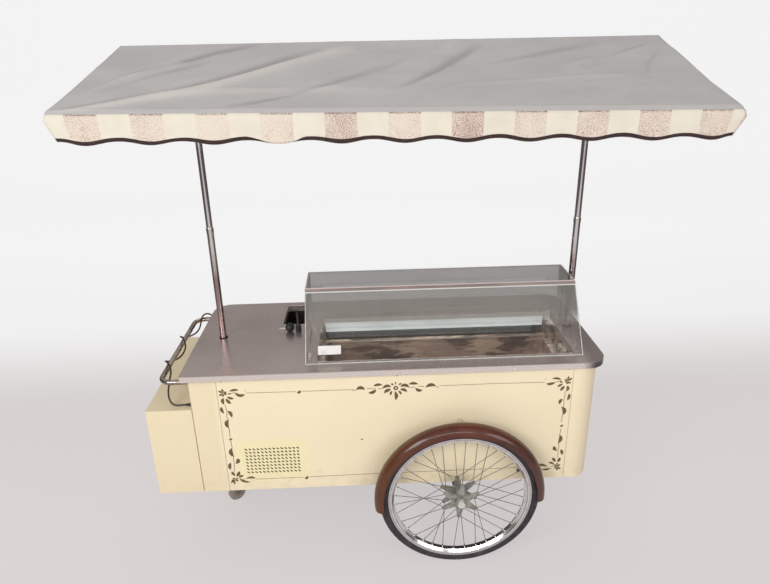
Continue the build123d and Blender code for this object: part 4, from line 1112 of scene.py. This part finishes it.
class CART_OT_paint(bpy.types.Operator):
    """Paint the body cream and the fenders brown"""

    bl_idname = "cart.paint"
    bl_label = "Paint"

    def execute(self, context):
        colours = context.scene.cart_finish
        cream = Finish("cream paint", Coat_Weight=0.25, Coat_Roughness=0.2)
        x, _, z = cream.axes()
        mottle = cream.cloud(3.0, 4, 0.6)
        lower_darkening = cream.cloud(22, 5, 0.65) * z.step(0.62, 0.36)
        by_grille = abs(x + 0.523).step(0.17, 0.115) * abs(z - 0.494).step(0.12, 0.07)
        chip = ((x + 0.1604) ** 2 + ((z - 0.5776) * 1.5) ** 2) ** 0.5 + cream.cloud(300, 2) * 0.003
        cream.colour(cream.coats(tuple(colours.cream), (mottle.step(0.3, 0.75) * 0.5, (236, 219, 184)),
                                 # Darker towards the bottom, in patches
                                 (lower_darkening.step(0.35, 0.75) * 0.35, (206, 184, 144)),
                                 (by_grille * 0.45, (240, 230, 168)),
                                 # Painted shade: darker at both ends, where the body rounds away
                                 (x.step(-0.70, -0.74) * 0.5, (226, 208, 172)),
                                 (x.step(0.68, 0.74) * 0.5, (220, 200, 168)),
                                 (chip.step(0.0066, 0.0050), (52, 36, 28))))
        cream.rough(0.38 + mottle * 0.14)
        cream.relief((cream.cloud(260, 2), 0.00004))
        finish_nodes(cream, "left_panel", "right_panel", "front_panel", "back_panel", "end_locker",
                     "storage_door")
        plain_finishes(PLAIN_PAINTS)
        seam = [(panel_low.x - 0.1088, panel_low.y + 0.0012, z) for z in (0.3535, 0.548, 0.7425)]
        tubes("locker_sealant", [seam], 0.0012, cream)
        enamel = Finish("fender enamel", Coat_Weight=0.55, Coat_Roughness=0.07, Specular_IOR_Level=0.25)
        x = enamel.axes()[0]
        streak = enamel.cloud(8, 4, 0.6)
        inner_edge_shade = wheel_place(enamel)[0].step(0.318, 0.298)
        enamel.colour(enamel.coats(tuple(colours.fender), (streak.step(0.3, 0.75), (56, 28, 22)),
                                   # Painted light: a warm glow on the left, a greyer reflection on the right
                                   # and shade along the inner edge
                                   (x.step(0.16, -0.06) * 0.75, (92, 52, 22)),
                                   (x.step(0.36, 0.56) * 0.6, (78, 50, 48)), (inner_edge_shade * 0.7, (40, 20, 18))))
        enamel.rough(0.34 + streak * 0.1)
        finish_nodes(enamel, "front_fender", "back_fender")
        return {"FINISHED"}


class CART_OT_plastics(bpy.types.Operator):
    """Finish the rubber, plastic and glass"""

    bl_idname = "cart.plastics"
    bl_label = "Rubber, plastic and glass"

    def execute(self, context):
        rubber = Finish("tyre rubber")
        dust = rubber.cloud(30, 4)
        radius, turn = wheel_place(rubber)
        rings = (radius * (2 * math.pi / 0.0042)).sine()
        tread = (turn * 190 + radius * 900).sine() * radius.step(0.316, 0.322)
        rubber.colour(rubber.coats(srgb(34, 29, 35), (dust.step(0.4, 0.8), (66, 59, 67)),
                                   (rings.step(0.2, 0.9) * 0.35, (88, 81, 90))))
        rubber.rough(0.45 + dust * 0.2)
        rubber.relief((rings, 0.0003), (tread, 0.0008))
        finish_nodes(rubber, "front_tyre", "back_tyre")
        plug = Finish("plug and its pins", Roughness=0.35)
        y = plug.axes()[1]
        pin = y.step(0.1860, 0.1864)
        rubbed = plug.cloud(150, 2)
        plug.colour(plug.coats(srgb(30, 28, 28), (rubbed, (56, 52, 50)), (pin, (200, 178, 128))))
        plug.join(pin, plug.shader.inputs["Metallic"])
        finish_nodes(plug, "power_plug")
        # Painted light: the lining glows though it is no lamp
        white = mottled("glowing well lining", (12, 3), (0.3, 0.7), srgb(246, 250, 250), srgb(230, 238, 238),
                        Roughness=0.35, Emission_Color=(*srgb(232, 244, 244), 1), Emission_Strength=0.45)
        finish_nodes(white, "well_strip")
        plain_finishes(PLAIN_PLASTICS)
        self.glass("case glass", (200, 197, 190), 0.13, 0.66, 0.76, "glass_front", "glass_sides")
        self.glass("top glass", (120, 116, 112), 0.60, 0.60, 0.85, "glass_top")
        return {"FINISHED"}

    def glass(self, name, colour, body, body_above, clear, *nodes):
        """Glass with a grey veil, denser above a height, and smears that thicken it a little."""
        finish = Finish(name, Roughness=0.03, Transmission_Weight=clear, IOR=1.45)
        body = body + finish.axes()[2].step(0.985, 1.065) * (body_above - body)
        smear = finish.cloud(5, 4, 0.6, stretch=(1, 3, 3))
        darker = tuple(c * 0.9 for c in colour)
        finish.colour(finish.blend(smear, srgb(*colour), srgb(*darker)))
        finish.join(body + smear.step(0.5, 0.9) * 0.08, finish.shader.inputs["Alpha"])
        finish_nodes(finish, *nodes)


class CART_OT_border(bpy.types.Operator):
    """Paint the traditional border of leaves and flowers on the front panel"""

    bl_idname = "cart.border"
    bl_label = "Painted border"

    film = 0.25

    def execute(self, context):
        self.vertices = []
        self.faces = []
        for x0, z0, x1, z1, x2, z2, width in LEAVES:
            middle = (x1 * 0.75 + (x0 + x2) * 0.125, z1 * 0.75 + (z0 + z2) * 0.125)
            self.leaf((x0, z0), middle, (x2, z2), width * 1.85)
        for points in STEMS:
            self.stroke(points, 2.2)
        for points in BORDER_LINES:
            self.stroke(points, 1.8)
        for x, z, radius, tips in FLOWERS:
            mean = radius * 0.75
            turns = [k * math.pi / 7 for k in range(15)]
            ring = [(x + mean * math.cos(turn), z + mean * math.sin(turn)) for turn in turns]
            self.stroke(ring, radius * 0.7)
            for tip_x, tip_z in tips:
                reach = math.hypot(tip_x - x, tip_z - z)
                near = radius * 0.9 / reach
                start = (x + (tip_x - x) * near, z + (tip_z - z) * near)
                middle = ((start[0] + tip_x) / 2 + (tip_z - z) * 0.06,
                          (start[1] + tip_z) / 2 - (tip_x - x) * 0.06)
                self.leaf(start, middle, (tip_x, tip_z), radius * 1.5)
        for x, z in DOTS:
            self.leaf((x - 2, z), (x, z + 0.4), (x + 2, z), 3.4)
        mesh = outward(mesh_from("painted_border", self.vertices, self.faces))
        colour = tuple(context.scene.cart_finish.ornament)
        finish = mottled("border paint", (70, 4, 0.7), (0.35, 0.75), colour, srgb(126, 106, 72), (0.45, 0.2),
                         depth=0.00005)
        new_piece("painted_border", mesh, finish, smooth=False)
        return {"FINISHED"}

    def leaf(self, start, middle, end, width):
        pull = (2 * middle[0] - (start[0] + end[0]) / 2, 2 * middle[1] - (start[1] + end[1]) / 2)
        steps = 10
        points = []
        widths = []
        for k in range(steps + 1):
            t = k / steps
            points.append(tuple((1 - t) ** 2 * a + 2 * t * (1 - t) * b + t * t * c
                                for a, b, c in zip(start, pull, end)))
            widths.append(max(0.3, width * math.sin(math.pi * t) ** 0.8))
        self.ribbon(points, widths)

    def stroke(self, points, width):
        self.ribbon(points, [width] * len(points))

    def ribbon(self, points, widths):
        """A closed strip of paint, a little proud of the panel."""
        front = panel_low.y - self.film * MILLIMETRE
        behind = panel_low.y + 0.2 * MILLIMETRE
        base = len(self.vertices)
        for k, ((x, z), width) in enumerate(zip(points, widths)):
            before = points[max(0, k - 1)]
            after = points[min(len(points) - 1, k + 1)]
            run = math.hypot(after[0] - before[0], after[1] - before[1]) or 1
            side = (-(after[1] - before[1]) / run * width / 2, (after[0] - before[0]) / run * width / 2)
            for sign in (1, -1):
                for y in (front, behind):
                    self.vertices.append(((x + sign * side[0]) * MILLIMETRE, y,
                                          (z + sign * side[1]) * MILLIMETRE))
        self.faces += strip_faces(base, len(points))


class CART_OT_plates(bpy.types.Operator):
    """Set the blank plate on the sloped pane, the grille's filter and the edges of panes, well and basin"""

    bl_idname = "cart.plates"
    bl_label = "Plates and edges"

    def execute(self, context):
        self.blank_plate()
        self.filter()
        self.edges()
        self.well_beads()
        return {"FINISHED"}

    def blank_plate(self):
        """A plain white plate with rounded corners on the pane's outer face."""
        foot = Vector((0, pane_low.y, counter_high.z))
        along = Vector((0, 0.171, 0.249)).normalized()
        out = Vector((0, -along.z, along.y))
        left, right, low, high = -0.3194, -0.2299, 0.0353, 0.0703
        ring = rounded(left, right, low, high, 0.003, 4)
        vertices = []
        for inset, height in ((0.0, 0.0), (0.0, 0.0006), (0.0004, 0.0010)):
            for x, s in ring:
                x += math.copysign(inset, (left + right) / 2 - x)
                s += math.copysign(inset, (low + high) / 2 - s)
                vertices.append(foot + Vector((x, 0, 0)) + along * s + out * height)
        count = len(ring)
        faces = [tuple(reversed(range(count))), tuple(range(2 * count, 3 * count))] + bands(0, 3, count)
        finish = mottled("blank plate", (40, 3), (0.4, 0.8), srgb(236, 234, 230), srgb(218, 213, 204),
                         grain=600, depth=0.00003, Roughness=0.4)
        mesh = outward(mesh_from("blank_plate", vertices, faces))
        new_piece("blank_plate", mesh, finish, smooth=False)

    def filter(self):
        """A pleated filter behind the grille's slots, coloured dark as painted shade in the slots."""
        left, right, low, high = -0.6385, -0.4068, 0.4255, 0.5620
        front = panel_low.y + 0.0032
        pleats, pleat, sheet = 116, 0.0022, 0.0012
        vertices = []
        for k in range(pleats + 1):
            x, y = left + (right - left) * k / pleats, front + pleat * (k % 2)
            vertices += [(x, y, low), (x, y + sheet, low), (x, y, high), (x, y + sheet, high)]
        # Painted shade: the filter is dark so the slots show dark
        finish = mottled("grille filter", (120, 4), (0.3, 0.8), srgb(34, 26, 8), srgb(58, 46, 20),
                         depth=0.0006, Roughness=0.9)
        mesh = outward(mesh_from("grille_filter", vertices, strip_faces(0, pleats + 1)))
        new_piece("grille_filter", mesh, finish, smooth=False)

    def edges(self):
        """The ground edges of the panes, which catch the light."""
        left, right = pane_low.x - 0.006, pane_high.x + 0.006
        front, shoulder, back = pane_low.y, -0.097, 0.093
        low, high = counter_high.z, pane_high.z + 0.006
        inset = 0.0008
        lines = []
        for x in (left + inset, right - inset):
            lines.append([(x, front + inset, low), (x, shoulder + inset, high - inset),
                          (x, back - inset, high - inset), (x, back - inset, low)])
        lines.append([(left, shoulder, high - inset), (right, shoulder, high - inset)])
        lines.append([(left, back - inset, high - inset), (right, back - inset, high - inset)])
        lines.append([(left, front, low + 0.001), (right, front, low + 0.001)])
        finish = mottled("ground glass edge", (50, 3), (0.3, 0.7), srgb(232, 232, 226), srgb(204, 206, 200),
                         Roughness=0.25, Coat_Weight=0.6)
        tubes("pane_edges", lines, 0.0017, finish)

    def well_beads(self):
        """The polished lips round the well and the basin."""
        finish = mottled("polished lip", (30, 3), (0.3, 0.7), srgb(226, 216, 210), srgb(190, 180, 174),
                         (0.14, 0.12), Metallic=1.0)
        for name, radius, outline in (("well_lip", 0.0016, (-0.3275, 0.6905, -0.2495, 0.1655, 0.0135)),
                                      ("basin_lip", 0.0019, (-0.4985, -0.3885, 0.1035, 0.3185, 0.0205))):
            line = [(x, y, counter_high.z) for x, y in rounded(*outline, 6)]
            tubes(name, [line], radius, finish, closed=True)


class CART_OT_fasteners(bpy.types.Operator):
    """Drive the screws and bolts, and set the tyre valves"""

    bl_idname = "cart.fasteners"
    bl_label = "Fasteners"

    def execute(self, context):
        steel = mottled("screw steel", (300, 3), (0.3, 0.7), srgb(120, 110, 100), srgb(82, 72, 64),
                        (0.35, 0.2), Metallic=0.9)
        up, left, right, near, far = (0, 0, 1), (-1, 0, 0), (1, 0, 0), (0, -1, 0), (0, 1, 0)
        back, leaf, pin = 0.342, 0.002, -0.687
        row, columns = 0.8655, (-0.689, -0.0157, 0.6516)
        panel = [((x, panel_low.y, row), near, right) for x in columns]
        panel += [((x, back, row), far, right) for x in columns]
        panel += [((-0.9946, y, 0.724), left, far) for y in (-0.28, 0.014, 0.308)]
        door_low, door_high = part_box("storage_door")
        hinges = (door_low.z - 0.006 + 0.070, door_high.z + 0.006 - 0.070)
        fixed, moving = ([((pin + offset, back + leaf, z + rise), far, right) for z in hinges
                          for offset in offsets for rise in rises]
                         for offsets, rises in (((-0.022, -0.011), (-0.0225, -0.0085)),
                                                ((0.011, 0.022), (0.0095, 0.0235))))
        clip_low, clip_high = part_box("glass_clips")
        clips = [((x, y, counter_high.z + 0.0025), up, right)
                 for x in (clip_low.x + 0.009, clip_high.x - 0.009) for y in (-0.190, 0.040)]
        low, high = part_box("castor_leg")
        middle, off = ((low.x + high.x) / 2, (low.y + high.y) / 2), 0.036
        bolts = [((middle[0] + way * off, middle[1] + side * off, low.z + 0.006), up, right)
                 for way in (-1, 1) for side in (-1, 1)]
        head = self.screw_head()
        for name, places, body, size in (("panel_screws", panel, "cart", 1.0),
                                         ("hinge_screws", fixed, "cart", 0.62),
                                         ("door_hinge_screws", moving, "door", 0.62),
                                         ("clip_screws", clips, "cart", 0.62)):
            repeat(name, head, places, steel, body=body, size=size, spin=3.0)
        repeat("castor_bolts", self.bolt_head(), bolts, steel, spin=1.0, smooth=False)
        self.valves()
        return {"FINISHED"}

    def screw_head(self):
        """A domed head with a cross recess, its rim on the surface."""
        sides = 16
        vertices = []
        for radius, height in ((0.0046, -0.0006), (0.0046, 0.0003), (0.0040, 0.0012), (0.0028, 0.0019)):
            vertices += circle(radius, height, sides)
        for arm, web, height in ((0.0022, 0.0009, 0.0020), (0.0019, 0.0006, 0.0009)):
            pairs = zip(circle(arm, height, sides), circle(web, height, sides))
            vertices += [pair[0] if k % 4 == 0 else pair[1] for k, pair in enumerate(pairs)]
        faces = bands(0, 6, sides) + [tuple(reversed(range(sides))), tuple(range(5 * sides, 6 * sides))]
        return vertices, faces

    def bolt_head(self):
        """A hexagon head with a washer under it."""
        vertices = []
        faces = []
        for sides, profile in ((16, [(0.0078, -0.0003), (0.0078, 0.0012), (0.0074, 0.0014)]),
                               (6, [(0.0060, 0.0010), (0.0060, 0.0050), (0.0052, 0.0056)])):
            base = len(vertices)
            for radius, height in profile:
                vertices += circle(radius, height, sides)
            faces += bands(base, 3, sides)
            last = base + 2 * sides
            faces += [tuple(reversed(range(base, base + sides))), tuple(range(last, last + sides))]
        return vertices, faces

    def valves(self):
        """A valve stem with its cap in each rim."""
        finish = mottled("valve rubber", (200, 2), None, srgb(40, 36, 36), srgb(70, 64, 62), Roughness=0.55)
        profile = [(0, -0.004), (0.0042, -0.003), (0.0042, 0.002), (0.0075, 0.0022), (0.0075, 0.0058),
                   (0.0052, 0.0062), (0.0052, 0.0120), (0.0040, 0.0135), (0, 0.0140)]
        vertices, faces = lathe(profile, 14)
        for wheel in ("front", "back"):
            low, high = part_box(f"{wheel}_rim")
            middle = (low + high) / 2
            turn = math.radians(27)
            inward = Vector((-math.cos(turn), 0, -math.sin(turn)))
            seat = middle - inward * ((high.x - low.x) / 2 - 0.023)
            place = Matrix.Translation(seat) @ inward.to_track_quat("Z", "Y").to_matrix().to_4x4()
            mesh = outward(mesh_from(f"{wheel}_valve", [place @ Vector(v) for v in vertices], faces))
            new_piece(f"{wheel}_valve", mesh, finish, f"{wheel}_wheel")


class CART_PT_panel(bpy.types.Panel):
    """Lists the cart's settings and its pieces"""

    bl_idname = "CART_PT_panel"
    bl_label = "Ice Cream Cart"
    bl_space_type = "VIEW_3D"
    bl_region_type = "UI"
    bl_category = "Cart"

    def draw(self, context):
        for group in SETTINGS:
            values = getattr(context.scene, group)
            box = self.layout.box()
            for key in values.__annotations__:
                box.prop(values, key)
        for operator in OPERATORS:
            self.layout.operator(operator.bl_idname)


SETTINGS = {"cart_camera": CameraSettings, "cart_canopy": CanopySettings, "cart_lead": LeadSettings,
            "cart_finish": FinishSettings}
OPERATORS = [CART_OT_camera, CART_OT_stage, CART_OT_lead, CART_OT_metals, CART_OT_paint, CART_OT_plastics,
             CART_OT_canopy, CART_OT_border, CART_OT_plates, CART_OT_fasteners]


def register():
    for made in (*SETTINGS.values(), *OPERATORS, CART_PT_panel):
        bpy.utils.register_class(made)
    for name, group in SETTINGS.items():
        setattr(bpy.types.Scene, name, bpy.props.PointerProperty(type=group))


def unregister():
    for name in SETTINGS:
        delattr(bpy.types.Scene, name)
    for made in (CART_PT_panel, *reversed(OPERATORS), *reversed(list(SETTINGS.values()))):
        bpy.utils.unregister_class(made)


def main():
    register()
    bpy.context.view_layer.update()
    for operator in OPERATORS:
        group, name = operator.bl_idname.split(".")
        getattr(getattr(bpy.ops, group), name)()


if __name__ == "__main__":
    main()
